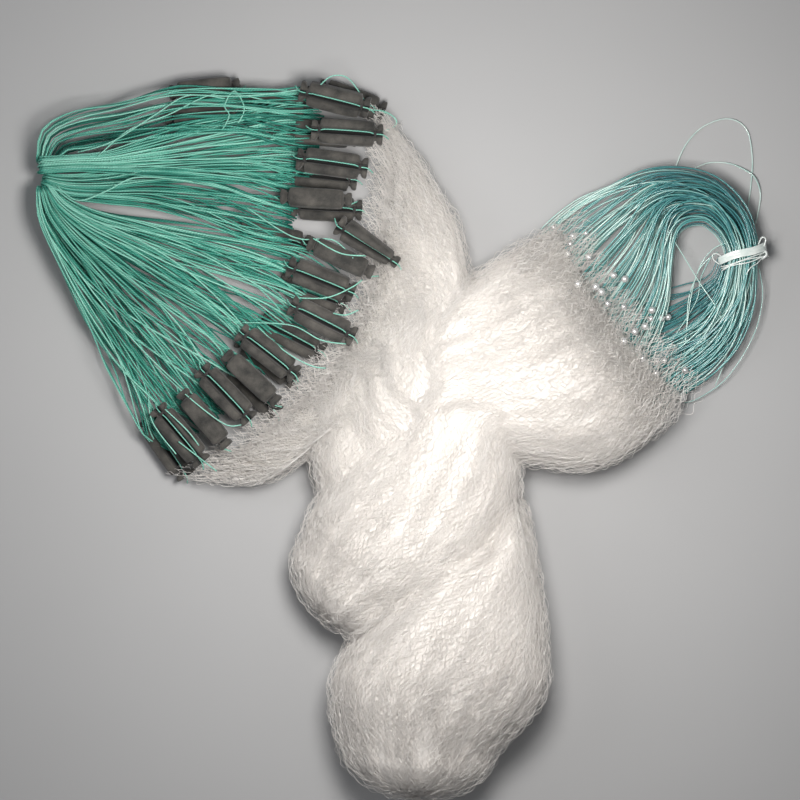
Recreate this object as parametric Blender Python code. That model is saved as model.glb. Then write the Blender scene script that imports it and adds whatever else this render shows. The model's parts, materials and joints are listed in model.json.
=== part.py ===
"""A gill net put away for carrying and laid out flat.

The netting is gathered into one soft twisted bundle with two arms and a tail of two lobes. The
float line is hanked at the left arm, with its foam floats side by side along the netting's edge.
The lead line is hanked at the right arm into an open ring, bound with one white band. Two loose
bights of the lead line lie beside that hank.

Metres, +Z up. The origin is on the surface, under the middle of the whole object.
"""

import math
from typing import NamedTuple

import bmesh
import bpy
from mathutils import Matrix, Vector

# ---------------------------------------------------------------- driving dimensions
OBJECT_NAME = "gill_net"
MIDDLE_X = 0.0009          # the middle of the whole, in the tables' own coordinates
MIDDLE_Y = -0.0001
RING_POINTS = 24            # points round a section of netting or hank
SPAN_STEPS = 3              # sections made between two rows of a table
ROUNDING = (25, 50, 72)     # degrees round the dome at a loft's free end

FLOAT_LENGTH = 0.058        # over both flared ends
FLOAT_WIDTH = 0.021
FLOAT_THICKNESS = 0.0165
GROOVE_DEPTH = 0.0024       # of the slit that holds the float line

LINE_RADIUS = 0.0006        # the lead line, 1.2 mm monofilament
BIGHT_POINTS = 34           # points along one loose bight

WAIST = 5                   # the band is half way between this row of LEAD_HANK and the next
BAND_HALF_LENGTH = 0.0036
BAND_WALL = 0.0012
BAND_GAP = 0.0012           # clear of the hank all round

CUT_SIZE = 1.0              # the block below the surface that cuts the netting flat


class Row(NamedTuple):
    """One section of a bundle: its middle, which way the bundle runs there, and its size."""

    x: float
    y: float
    z: float
    heading: float       # degrees, anticlockwise from +X
    half_width: float
    half_height: float
    bow: float           # how far the middle of the section runs ahead of its two edges


# The arm at the floats: from the arc of the floats in to the middle of the bundle.
LEFT_ARM = (
    #     x       y      z   heading half_width half_height bow
    Row(-0.088, 0.109, 0.008, -27, 0.165, 0.010, 0.053),
    Row(-0.048, 0.088, 0.018, -27, 0.143, 0.021, 0.032),
    Row(-0.013, 0.080, 0.027, -32, 0.104, 0.031, 0.016),
    Row(0.006, 0.056, 0.034, -36, 0.081, 0.039, 0.004),
    Row(0.026, 0.034, 0.037, -40, 0.062, 0.041, 0.000),
)

# The arm at the leads: from the leads in to the middle of the bundle.
RIGHT_ARM = (
    Row(0.178, 0.098, 0.010, -144, 0.088, 0.012, 0.012),
    Row(0.144, 0.072, 0.027, -144, 0.093, 0.031, -0.002),
    Row(0.106, 0.051, 0.036, -150, 0.090, 0.041, -0.008),
    Row(0.064, 0.046, 0.038, -159, 0.071, 0.045, -0.004),
    Row(0.020, 0.044, 0.036, -170, 0.055, 0.043, 0.000),
    Row(-0.013, 0.044, 0.028, -170, 0.039, 0.031, 0.000),
)

# The fold behind, between the left arm and the upper lobe of the tail.
BACK_FOLD = (
    Row(-0.006, 0.026, 0.027, -125, 0.040, 0.032, 0.000),
    Row(-0.028, -0.006, 0.026, -100, 0.042, 0.032, 0.000),
    Row(-0.033, -0.038, 0.026, -80, 0.035, 0.031, 0.000),
    Row(-0.014, -0.070, 0.026, -60, 0.032, 0.030, 0.000),
)

# The tail's upper lobe, which turns down and to the left.
UPPER_LOBE = (
    Row(0.048, 0.014, 0.036, -112, 0.043, 0.042, 0.000),
    Row(0.039, -0.023, 0.038, -118, 0.059, 0.045, 0.000),
    Row(0.011, -0.066, 0.038, -124, 0.068, 0.045, 0.000),
    Row(-0.017, -0.098, 0.037, -129, 0.067, 0.044, 0.000),
    Row(-0.040, -0.125, 0.031, -131, 0.055, 0.037, 0.000),
)

# The tail's lower lobe, which crosses over the upper one and turns under itself at its end.
LOWER_LOBE = (
    Row(0.086, -0.070, 0.031, -100, 0.012, 0.029, 0.000),
    Row(0.084, -0.098, 0.037, -112, 0.022, 0.037, 0.000),
    Row(0.069, -0.136, 0.043, -124, 0.052, 0.044, 0.000),
    Row(0.047, -0.172, 0.044, -116, 0.073, 0.049, 0.000),
    Row(0.020, -0.212, 0.042, -105, 0.077, 0.048, 0.000),
    Row(0.012, -0.250, 0.036, -94, 0.062, 0.042, 0.000),
)

# The float line's hank: two fans that spread from where it is gathered to the floats.
UPPER_FAN = (
    Row(-0.284, 0.221, 0.015, 1, 0.021, 0.014, 0.000),
    Row(-0.266, 0.219, 0.018, 2, 0.037, 0.017, 0.000),
    Row(-0.217, 0.213, 0.016, 2, 0.044, 0.015, 0.000),
    Row(-0.161, 0.208, 0.011, 2, 0.036, 0.010, 0.000),
    Row(-0.106, 0.215, 0.008, 1, 0.033, 0.007, 0.000),
)
LOWER_FAN = (
    Row(-0.281, 0.180, 0.015, -38, 0.018, 0.014, 0.000),
    Row(-0.254, 0.159, 0.018, -50, 0.027, 0.017, 0.000),
    Row(-0.215, 0.135, 0.017, -47, 0.044, 0.016, 0.003),
    Row(-0.178, 0.101, 0.012, -45, 0.070, 0.011, 0.006),
    Row(-0.152, 0.078, 0.008, -44, 0.078, 0.007, 0.007),
)

# The lead line's hank: an open ring, from the leads round by the band and back to the leads.
LEAD_HANK = (
    Row(0.162, 0.126, 0.011, 36, 0.062, 0.010, -0.010),
    Row(0.182, 0.154, 0.016, 35, 0.052, 0.015, -0.003),
    Row(0.209, 0.187, 0.019, 26, 0.033, 0.018, 0.000),
    Row(0.242, 0.191, 0.019, -4, 0.024, 0.018, 0.000),
    Row(0.264, 0.175, 0.018, -48, 0.020, 0.016, 0.000),
    Row(0.274, 0.153, 0.017, -82, 0.0185, 0.0135, 0.000),
    Row(0.274, 0.137, 0.017, -89, 0.0185, 0.0135, 0.000),
    Row(0.271, 0.108, 0.015, -95, 0.022, 0.014, 0.000),
    Row(0.260, 0.080, 0.013, -112, 0.024, 0.012, 0.000),
    Row(0.243, 0.062, 0.011, -132, 0.023, 0.010, 0.000),
    Row(0.221, 0.049, 0.009, -143, 0.020, 0.008, 0.000),
)


class Float(NamedTuple):
    """One foam float: its middle, which way it points, its turn about its length, its taper."""

    x: float
    y: float
    z: float
    heading: float       # degrees, anticlockwise from +X
    roll: float          # degrees; 0 has the slit on top
    taper: float         # how much narrower the far end is, as a part of the width


LOW = 0.0087                # middle of a float that lies on the surface
LOW_ON_SIDE = 0.0108        # the same, turned so that its width stands up
HIGH = 0.0285               # middle of a float that lies on the first layer
FLOATS = (
    #      x       y      z    heading roll taper
    Float(-0.042, 0.270, LOW, -20, 0, 0.0),
    Float(-0.055, 0.269, HIGH, -14, 20, 0.0),
    Float(-0.045, 0.242, HIGH, -4, 0, 0.0),
    Float(-0.066, 0.243, LOW, -5, 0, 0.0),
    Float(-0.057, 0.217, HIGH, -8, 0, 0.0),
    Float(-0.066, 0.208, LOW, -6, 0, 0.0),
    Float(-0.070, 0.189, HIGH, -3, 90, 0.0),
    Float(-0.062, 0.182, LOW, -3, 0, 0.0),
    Float(-0.028, 0.152, 0.036, -33, 30, 0.45),
    Float(-0.104, 0.158, LOW, -12, 0, 0.0),
    Float(-0.050, 0.141, 0.030, -25, 90, 0.0),
    Float(-0.066, 0.124, 0.024, -22, 15, 0.0),
    Float(-0.073, 0.113, LOW, -20, 0, 0.0),
    Float(-0.065, 0.090, 0.0295, -27, 0, 0.0),
    Float(-0.090, 0.078, LOW, -28, 0, 0.0),
    Float(-0.109, 0.064, HIGH, -38, 0, 0.0),
    Float(-0.110, 0.059, LOW, -38, 0, 0.0),
    Float(-0.122, 0.044, HIGH, -43, 90, 0.0),
    Float(-0.143, 0.031, HIGH, -46, 0, 0.0),
    Float(-0.122, 0.036, LOW, -46, 0, 0.0),
    Float(-0.160, 0.011, HIGH, -50, 90, 0.0),
    Float(-0.180, -0.002, HIGH, -50, 0, 0.0),
    Float(-0.192, -0.012, LOW, -55, 0, 0.0),
    Float(-0.161, 0.279, LOW_ON_SIDE, 6, 90, 0.0),
    Float(-0.102, 0.267, LOW, -3, 0, 0.0),
    Float(-0.164, 0.256, LOW_ON_SIDE, 0, 90, 0.0),
)


class Station(NamedTuple):
    """One section of a float, as parts of its half length, half width and half thickness."""

    along: float
    width: float
    thickness: float


# From the near flared end, past the tie, along the body, past the other tie to the far end.
STATIONS = (
    Station(-1.00, 0.78, 0.66),
    Station(-0.84, 0.70, 0.60),
    Station(-0.78, 0.46, 0.46),
    Station(-0.72, 0.82, 0.78),
    Station(-0.60, 0.99, 0.97),
    Station(0.60, 1.00, 1.00),
    Station(0.72, 0.84, 0.80),
    Station(0.78, 0.46, 0.46),
    Station(0.84, 0.72, 0.62),
    Station(1.00, 0.80, 0.68),
)

# The loose bights of lead line: where they pass, and how high their middle lies.
TALL_BIGHT = (
    (0.2225, 0.2165, 0.0020), (0.2310, 0.2350, 0.0008), (0.2450, 0.2495, 0.0008),
    (0.2650, 0.2560, 0.0008), (0.2800, 0.2480, 0.0008), (0.2850, 0.2260, 0.0008),
    (0.2840, 0.2020, 0.0008), (0.2800, 0.1760, 0.0012),
)
LOW_BIGHT = (
    (0.2380, 0.2155, 0.0020), (0.2500, 0.2200, 0.0008), (0.2660, 0.2195, 0.0008),
    (0.2790, 0.2140, 0.0022), (0.2870, 0.2075, 0.0032), (0.2915, 0.1960, 0.0014),
    (0.2905, 0.1830, 0.0009), (0.2875, 0.1700, 0.0010),
)


class Finish(NamedTuple):
    """A plain material for one kind of piece."""

    name: str
    colour: tuple
    roughness: float


NETTING_FINISH = Finish("white_netting", (0.80, 0.78, 0.77), 0.55)
FLOAT_LINE_FINISH = Finish("green_float_line", (0.12, 0.42, 0.33), 0.45)
LEAD_LINE_FINISH = Finish("clear_teal_monofilament", (0.20, 0.48, 0.47), 0.20)
FOAM_FINISH = Finish("charcoal_foam", (0.045, 0.042, 0.040), 0.85)
BAND_FINISH = Finish("white_band", (0.85, 0.88, 0.87), 0.30)


# ---------------------------------------------------------------- helpers
def clear_scene() -> None:
    """Remove whatever the scene holds."""
    for obj in list(bpy.data.objects):
        bpy.data.objects.remove(obj, do_unlink=True)


def new_collection(name: str) -> bpy.types.Collection:
    """Return a new collection that is linked to the scene."""
    collection = bpy.data.collections.new(name)
    bpy.context.scene.collection.children.link(collection)
    return collection


def material(finish: Finish) -> bpy.types.Material:
    """Return the material of a finish, made the first time it is asked for."""
    made = bpy.data.materials.get(finish.name)
    if made is None:
        made = bpy.data.materials.new(finish.name)
        made.use_nodes = True
        shader = made.node_tree.nodes["Principled BSDF"]
        shader.inputs["Base Color"].default_value = (*finish.colour, 1.0)
        shader.inputs["Roughness"].default_value = finish.roughness
        shader.inputs["Metallic"].default_value = 0.0
    return made


def place(x: float, y: float, z: float) -> Vector:
    """Take a point of the tables to the object's own frame."""
    return Vector((x - MIDDLE_X, y - MIDDLE_Y, z))


def through(before, start, end, after, part: float) -> tuple:
    """Return a point on the Catmull-Rom curve from start to end, field by field."""
    return tuple(
        0.5 * (2 * q + (r - p) * part + (2 * p - 5 * q + 4 * r - s) * part**2
               + (3 * q - p - 3 * r + s) * part**3)
        for p, q, r, s in zip(before, start, end, after)
    )


def smooth(rows, steps: int) -> list:
    """Return rows with steps - 1 more between each two, on a smooth curve through them."""
    padded = (rows[0], *rows, rows[-1])
    result = []
    for k in range(len(rows) - 1):
        for step in range(steps):
            result.append(through(*padded[k:k + 4], step / steps))
    result.append(tuple(rows[-1]))
    return result


def section(row: Row, ahead: float = 0.0, scale: float = 1.0) -> list:
    """Return the ring of points of one section, moved ahead and made smaller where it domes."""
    angle = math.radians(row.heading)
    forward = Vector((math.cos(angle), math.sin(angle), 0.0))
    left = Vector((-forward.y, forward.x, 0.0))
    middle = place(row.x, row.y, row.z) + forward * ahead
    ring = []
    for k in range(RING_POINTS):
        turn = math.tau * k / RING_POINTS
        across, up = math.cos(turn) * scale, math.sin(turn) * scale
        ring.append(
            middle
            + left * (across * row.half_width)
            + Vector((0.0, 0.0, up * row.half_height))
            + forward * (row.bow * (1.0 - across * across))
        )
    return ring


def cap(bm: bmesh.types.BMesh, ring: list) -> None:
    """Close a ring with upright strips, which follow the bow of its section."""
    count = len(ring)
    for k in range(count // 2):
        corners = (ring[k], ring[k + 1], ring[count - k - 1], ring[-k])
        bm.faces.new(dict.fromkeys(corners))


def loft(name: str, rings: list, collection: bpy.types.Collection) -> bpy.types.Object:
    """Return a closed solid whose skin joins rings of equal length, capped at both ends."""
    bm = bmesh.new()
    loops = [[bm.verts.new(point) for point in ring] for ring in rings]
    for near, far in zip(loops, loops[1:]):
        for k, vertex in enumerate(near):
            follower = (k + 1) % len(near)
            bm.faces.new((vertex, near[follower], far[follower], far[k]))
    cap(bm, loops[0])
    cap(bm, loops[-1])
    bmesh.ops.recalc_face_normals(bm, faces=bm.faces[:])
    mesh = bpy.data.meshes.new(name)
    bm.to_mesh(mesh)
    bm.free()
    mesh.shade_smooth()
    obj = bpy.data.objects.new(name, mesh)
    collection.objects.link(obj)
    return obj


def bundle(name: str, rows, collection, dome_in: float = 0.0, dome_out: float = 0.0):
    """Return the solid through a table's rows, with a dome of the given length at each end."""
    smoothed = [Row(*values) for values in smooth(rows, SPAN_STEPS)]
    rings = [section(row) for row in smoothed]
    for degrees in ROUNDING:
        turn = math.radians(degrees)
        if dome_in:
            rings.insert(0, section(smoothed[0], -dome_in * math.sin(turn), math.cos(turn)))
        if dome_out:
            rings.append(section(smoothed[-1], dome_out * math.sin(turn), math.cos(turn)))
    return loft(name, rings, collection)


def join(body, others) -> None:
    """Make others one solid with body; each stays as a hidden guide."""
    for other in others:
        union = body.modifiers.new(f"with_{other.name}", "BOOLEAN")
        union.operation = "UNION"
        union.solver = "EXACT"
        union.use_self = True      # the joined lobes meet each other as well as the body
        union.object = other
        hide(other)


def hide(guide: bpy.types.Object) -> None:
    """Keep a guide or a cutter out of the built object."""
    guide.hide_render = True
    guide.display_type = "WIRE"


def cut_flat(body, guides: bpy.types.Collection) -> None:
    """Cut a body off level at the surface it lies on."""
    bm = bmesh.new()
    bmesh.ops.create_cube(bm, size=CUT_SIZE)
    mesh = bpy.data.meshes.new("below_surface")
    bm.to_mesh(mesh)
    bm.free()
    block = bpy.data.objects.new("below_surface", mesh)
    block.location = (0.0, 0.0, -CUT_SIZE / 2)
    guides.objects.link(block)
    hide(block)
    cut = body.modifiers.new("flat_underside", "BOOLEAN")
    cut.operation = "DIFFERENCE"
    cut.solver = "EXACT"
    cut.object = block


# ---------------------------------------------------------------- sub-parts
def build_netting(parts, guides) -> None:
    """Make the gathered netting: two arms, the fold behind and the two lobes of the tail."""
    netting = bundle("netting", LEFT_ARM, parts)
    others = (
        bundle("right_arm", RIGHT_ARM, guides),
        bundle("back_fold", BACK_FOLD, guides, dome_out=0.020),
        bundle("upper_lobe", UPPER_LOBE, guides, dome_out=0.034),
        bundle("lower_lobe", LOWER_LOBE, guides, dome_in=0.015, dome_out=0.040),
    )
    join(netting, others)
    cut_flat(netting, guides)
    netting.data.materials.append(material(NETTING_FINISH))


def build_float_line_hank(parts, guides) -> None:
    """Make the hank of float line: two fans in one solid."""
    hank = bundle("float_line_hank", UPPER_FAN, parts, dome_in=0.008)
    join(hank, (bundle("lower_fan", LOWER_FAN, guides, dome_in=0.008),))
    hank.data.materials.append(material(FLOAT_LINE_FINISH))


def build_lead_line_hank(parts) -> None:
    """Make the hank of lead line: one open ring."""
    hank = bundle("lead_line_hank", LEAD_HANK, parts)
    hank.data.materials.append(material(LEAD_LINE_FINISH))


def build_band(parts) -> None:
    """Make the white band: an oval sleeve round the narrowest part of the lead line's hank."""
    waist = Row(*through(*LEAD_HANK[WAIST - 1:WAIST + 3], 0.5))
    inner = waist._replace(
        half_width=waist.half_width + BAND_GAP, half_height=waist.half_height + BAND_GAP
    )
    outer = inner._replace(
        half_width=inner.half_width + BAND_WALL, half_height=inner.half_height + BAND_WALL
    )
    rings = [
        section(inner, -BAND_HALF_LENGTH),
        section(outer, -BAND_HALF_LENGTH),
        section(outer, BAND_HALF_LENGTH),
        section(inner, BAND_HALF_LENGTH),
    ]
    bm = bmesh.new()
    loops = [[bm.verts.new(point) for point in ring] for ring in rings]
    for near, far in zip(loops, loops[1:] + loops[:1]):
        for k, vertex in enumerate(near):
            follower = (k + 1) % len(near)
            bm.faces.new((vertex, near[follower], far[follower], far[k]))
    bmesh.ops.recalc_face_normals(bm, faces=bm.faces[:])
    mesh = bpy.data.meshes.new("hank_band")
    bm.to_mesh(mesh)
    bm.free()
    band = bpy.data.objects.new("hank_band", mesh)
    band.data.materials.append(material(BAND_FINISH))
    parts.objects.link(band)


def float_ring(station: Station, taper: float) -> list:
    """Return a float's section: an oval whose top and bottom are drawn in by the slit."""
    narrowing = 1.0 - taper * (station.along + 1.0) / 2
    half_width = FLOAT_WIDTH / 2 * station.width * narrowing
    half_thickness = FLOAT_THICKNESS / 2 * station.thickness * narrowing
    groove = GROOVE_DEPTH * station.thickness * narrowing
    along = station.along * FLOAT_LENGTH / 2
    ring = []
    for degrees in (0, 48, 90, 132, 180, 228, 270, 312):
        turn = math.radians(degrees)
        height = math.sin(turn) * half_thickness
        if degrees == 90:
            height -= groove
        ring.append(Vector((along, math.cos(turn) * half_width, height)))
    return ring


def build_floats(parts) -> None:
    """Make the foam floats, each pinched by a tie near both ends."""
    for number, row in enumerate(FLOATS, start=1):
        rings = [float_ring(station, row.taper) for station in STATIONS]
        piece = loft(f"float_{number:02d}", rings, parts)
        turn = Matrix.Rotation(math.radians(row.heading), 4, "Z")
        roll = Matrix.Rotation(math.radians(row.roll), 4, "X")
        piece.matrix_world = Matrix.Translation(place(row.x, row.y, row.z)) @ turn @ roll
        piece.data.materials.append(material(FOAM_FINISH))


def build_bight(name: str, route, parts) -> None:
    """Make one loose bight of the lead line as a tube along a smooth route."""
    dense = smooth(route, 12)
    step = (len(dense) - 1) / (BIGHT_POINTS - 1)
    points = [place(*dense[round(k * step)]) for k in range(BIGHT_POINTS)]
    curve = bpy.data.curves.new(name, "CURVE")
    curve.dimensions = "3D"
    curve.bevel_depth = LINE_RADIUS
    curve.bevel_resolution = 2
    curve.use_fill_caps = True
    spline = curve.splines.new("POLY")
    spline.points.add(len(points) - 1)
    for point, where in zip(spline.points, points):
        point.co = (*where, 1.0)
    curve.materials.append(material(LEAD_LINE_FINISH))
    parts.objects.link(bpy.data.objects.new(name, curve))


def main() -> None:
    """Build the whole net."""
    clear_scene()
    parts = new_collection(OBJECT_NAME)
    guides = new_collection("guides")
    build_netting(parts, guides)
    build_float_line_hank(parts, guides)
    build_lead_line_hank(parts)
    build_band(parts)
    build_floats(parts)
    build_bight("tall_bight", TALL_BIGHT, parts)
    build_bight("low_bight", LOW_BIGHT, parts)


main()
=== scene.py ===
"""A gill net put away for carrying and laid out flat, in white monofilament with a green float line.

The netting is one soft twisted bundle with two arms and a tail of two lobes. The float line is
hanked at the left arm with its foam floats, and the lead line is hanked at the right arm into an
open ring with a white band. Metres, +Z up, the origin on the surface under the middle.
"""

import json
import logging
import math
from collections.abc import Iterator
from contextlib import contextmanager
from dataclasses import dataclass, field
from enum import Enum

import bpy
import numpy as np
from mathutils import Matrix, Vector
from mathutils.bvhtree import BVHTree
from mathutils.kdtree import KDTree

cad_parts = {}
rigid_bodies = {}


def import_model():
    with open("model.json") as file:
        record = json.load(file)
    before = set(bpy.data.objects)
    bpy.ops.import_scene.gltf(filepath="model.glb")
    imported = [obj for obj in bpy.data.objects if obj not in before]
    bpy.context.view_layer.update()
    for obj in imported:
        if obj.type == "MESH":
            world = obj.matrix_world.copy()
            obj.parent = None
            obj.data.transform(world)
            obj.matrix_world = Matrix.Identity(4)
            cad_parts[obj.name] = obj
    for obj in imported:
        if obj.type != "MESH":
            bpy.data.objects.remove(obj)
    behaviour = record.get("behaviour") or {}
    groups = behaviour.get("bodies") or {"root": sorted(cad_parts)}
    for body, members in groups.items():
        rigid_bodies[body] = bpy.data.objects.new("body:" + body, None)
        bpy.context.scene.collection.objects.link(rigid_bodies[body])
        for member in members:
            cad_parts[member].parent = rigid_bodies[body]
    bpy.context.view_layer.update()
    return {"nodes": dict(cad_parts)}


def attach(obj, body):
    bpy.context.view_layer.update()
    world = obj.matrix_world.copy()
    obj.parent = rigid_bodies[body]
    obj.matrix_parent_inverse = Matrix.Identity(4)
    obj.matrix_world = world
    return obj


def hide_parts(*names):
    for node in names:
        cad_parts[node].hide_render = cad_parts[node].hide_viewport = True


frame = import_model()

log = logging.getLogger("fishing_net")

BODY = "root"
MIDDLE = np.array([0.0009, -0.0001, 0.0])   # the tables' own coordinates are from this point
UP = np.array([0.0, 0.0, 1.0])
SPARSE = 0.42                               # the netting's density where it begins to end


class Slot(Enum):
    """The record's material slots, one passed along with each new piece."""

    NETTING = "netting"
    FLOAT_LINE = "float_line"
    LEAD_LINE = "lead_line"
    FOAM = "foam"
    BAND = "band"
    LEADS = "leads"


# ---------------------------------------------------------------- shared helpers
def deselect() -> None:
    """Leave nothing selected or active."""
    for obj in bpy.context.view_layer.objects:
        if obj.visible_get():
            obj.select_set(False)
    bpy.context.view_layer.objects.active = None


def activate(obj: bpy.types.Object) -> bpy.types.Object:
    """Make one object the only selected and active one.

    Args:
        obj: The object to work on.

    Returns:
        The same object.
    """
    deselect()
    obj.select_set(True)
    bpy.context.view_layer.objects.active = obj
    return obj


def new_object(name: str, data: bpy.types.ID) -> bpy.types.Object:
    """Make an object and put it in the scene."""
    obj = bpy.data.objects.new(name, data)
    bpy.context.scene.collection.objects.link(obj)
    return obj


@contextmanager
def editing(obj: bpy.types.Object) -> Iterator[None]:
    """Keep a mesh in edit mode, all of it selected at first, for one with block."""
    activate(obj)
    bpy.ops.object.mode_set(mode="EDIT")
    bpy.ops.mesh.select_all(action="SELECT")
    yield
    bpy.ops.object.mode_set(mode="OBJECT")


def join(pieces: list[bpy.types.Object], name: str,
         material: bpy.types.Material) -> bpy.types.Object:
    """Join mesh pieces into one.

    Args:
        pieces: The pieces, of which the first stays.
        name: The joined piece's name.
        material: Its finish.

    Returns:
        The joined piece.
    """
    joined = activate(pieces[0])
    for piece in pieces:
        piece.select_set(True)
    bpy.ops.object.join()
    joined.name = name
    joined.data.materials.clear()
    joined.data.materials.append(material)
    return joined


def apply_modifier(obj: bpy.types.Object, kind: str, **settings) -> None:
    """Add one modifier to an object and apply it at once.

    Args:
        obj: The object to change.
        kind: Blender's name for the modifier.
        settings: The modifier's own settings.
    """
    activate(obj)
    modifier = obj.modifiers.new(kind.lower(), kind)
    for name, value in settings.items():
        setattr(modifier, name, value)
    bpy.ops.object.modifier_apply(modifier=modifier.name)


def settle(obj: bpy.types.Object) -> bpy.types.Object:
    """Put an object's place into its mesh, so that the object itself is at the origin.

    Args:
        obj: The object to settle.

    Returns:
        The same object.
    """
    bpy.context.view_layer.update()
    obj.data.transform(obj.matrix_world)
    obj.matrix_world = Matrix.Identity(4)
    obj.data.update()
    return obj


def finish_piece(obj: bpy.types.Object, slot: Slot, *nodes: str) -> bpy.types.Object:
    """Let a piece ride on the body and stand for CAD nodes.

    Args:
        obj: The finished piece.
        slot: The record's material slot for the piece; it is not used.
        nodes: The CAD nodes that it replaces.

    Returns:
        The same piece.
    """
    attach(obj, BODY)
    if nodes:
        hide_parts(*nodes)
    faces = len(obj.data.polygons) if obj.type == "MESH" else 0
    log.info("%s: %d faces", obj.name, faces)
    return obj


def placed(points) -> np.ndarray:
    """Take points of the tables to the object's own frame."""
    return np.asarray(points, float) - MIDDLE


def catmull_rom(points: np.ndarray, steps: int) -> np.ndarray:
    """Return a smooth line through points.

    Args:
        points: Rows of numbers, of any width.
        steps: How many stretches to make between two rows.

    Returns:
        The rows of the smooth line.
    """
    padded = np.vstack([points[:1], points, points[-1:]])
    part = np.linspace(0.0, 1.0, steps, endpoint=False)[:, None]
    lines = [
        0.5 * (2 * q + (r - p) * part + (2 * p - 5 * q + 4 * r - s) * part**2
               + (3 * q - p - 3 * r + s) * part**3)
        for p, q, r, s in zip(padded, padded[1:], padded[2:], padded[3:])
    ]
    return np.vstack(lines + [points[-1:]])


def unit(rows: np.ndarray) -> np.ndarray:
    """Return vectors made one long along their last axis."""
    return rows / np.maximum(np.linalg.norm(rows, axis=-1, keepdims=True), 1e-12)


def moved(points: np.ndarray, matrix: Matrix) -> np.ndarray:
    """Return points taken through a matrix."""
    table = np.array(matrix)
    return points @ table[:3, :3].T + table[:3, 3]


def vectors(items: bpy.types.bpy_prop_collection, name: str) -> np.ndarray:
    """Return one vector property of a mesh's vertices or faces, in rows of three."""
    values = np.zeros(len(items) * 3)
    items.foreach_get(name, values)
    return values.reshape(-1, 3)


def keep_values(mesh: bpy.types.Mesh, name: str, values: np.ndarray) -> None:
    """Keep one number for each vertex on a mesh, where its finish can read it."""
    layer = mesh.attributes.new(name, "FLOAT", "POINT")
    layer.data.foreach_set("value", np.asarray(values, np.float32))


def even(line: np.ndarray, count: int) -> np.ndarray:
    """Return a line's points spread evenly along it.

    Args:
        line: Points of a line, in order.
        count: How many points to return.

    Returns:
        The new points.
    """
    along = np.concatenate([[0.0], np.cumsum(np.linalg.norm(np.diff(line, axis=0), axis=1))])
    at = np.linspace(0.0, along[-1], count)
    return np.column_stack([np.interp(at, along, line[:, k]) for k in range(3)])


def smooth_route(route: tuple, count: int, steps: int = 10) -> np.ndarray:
    """Return a smooth line through a route of the tables.

    Args:
        route: The points that it passes.
        count: How many points to return, evenly spaced.
        steps: How finely the line is worked out between two points.

    Returns:
        The line's points, in the object's own frame.
    """
    return even(catmull_rom(placed(route), steps), count)


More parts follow.
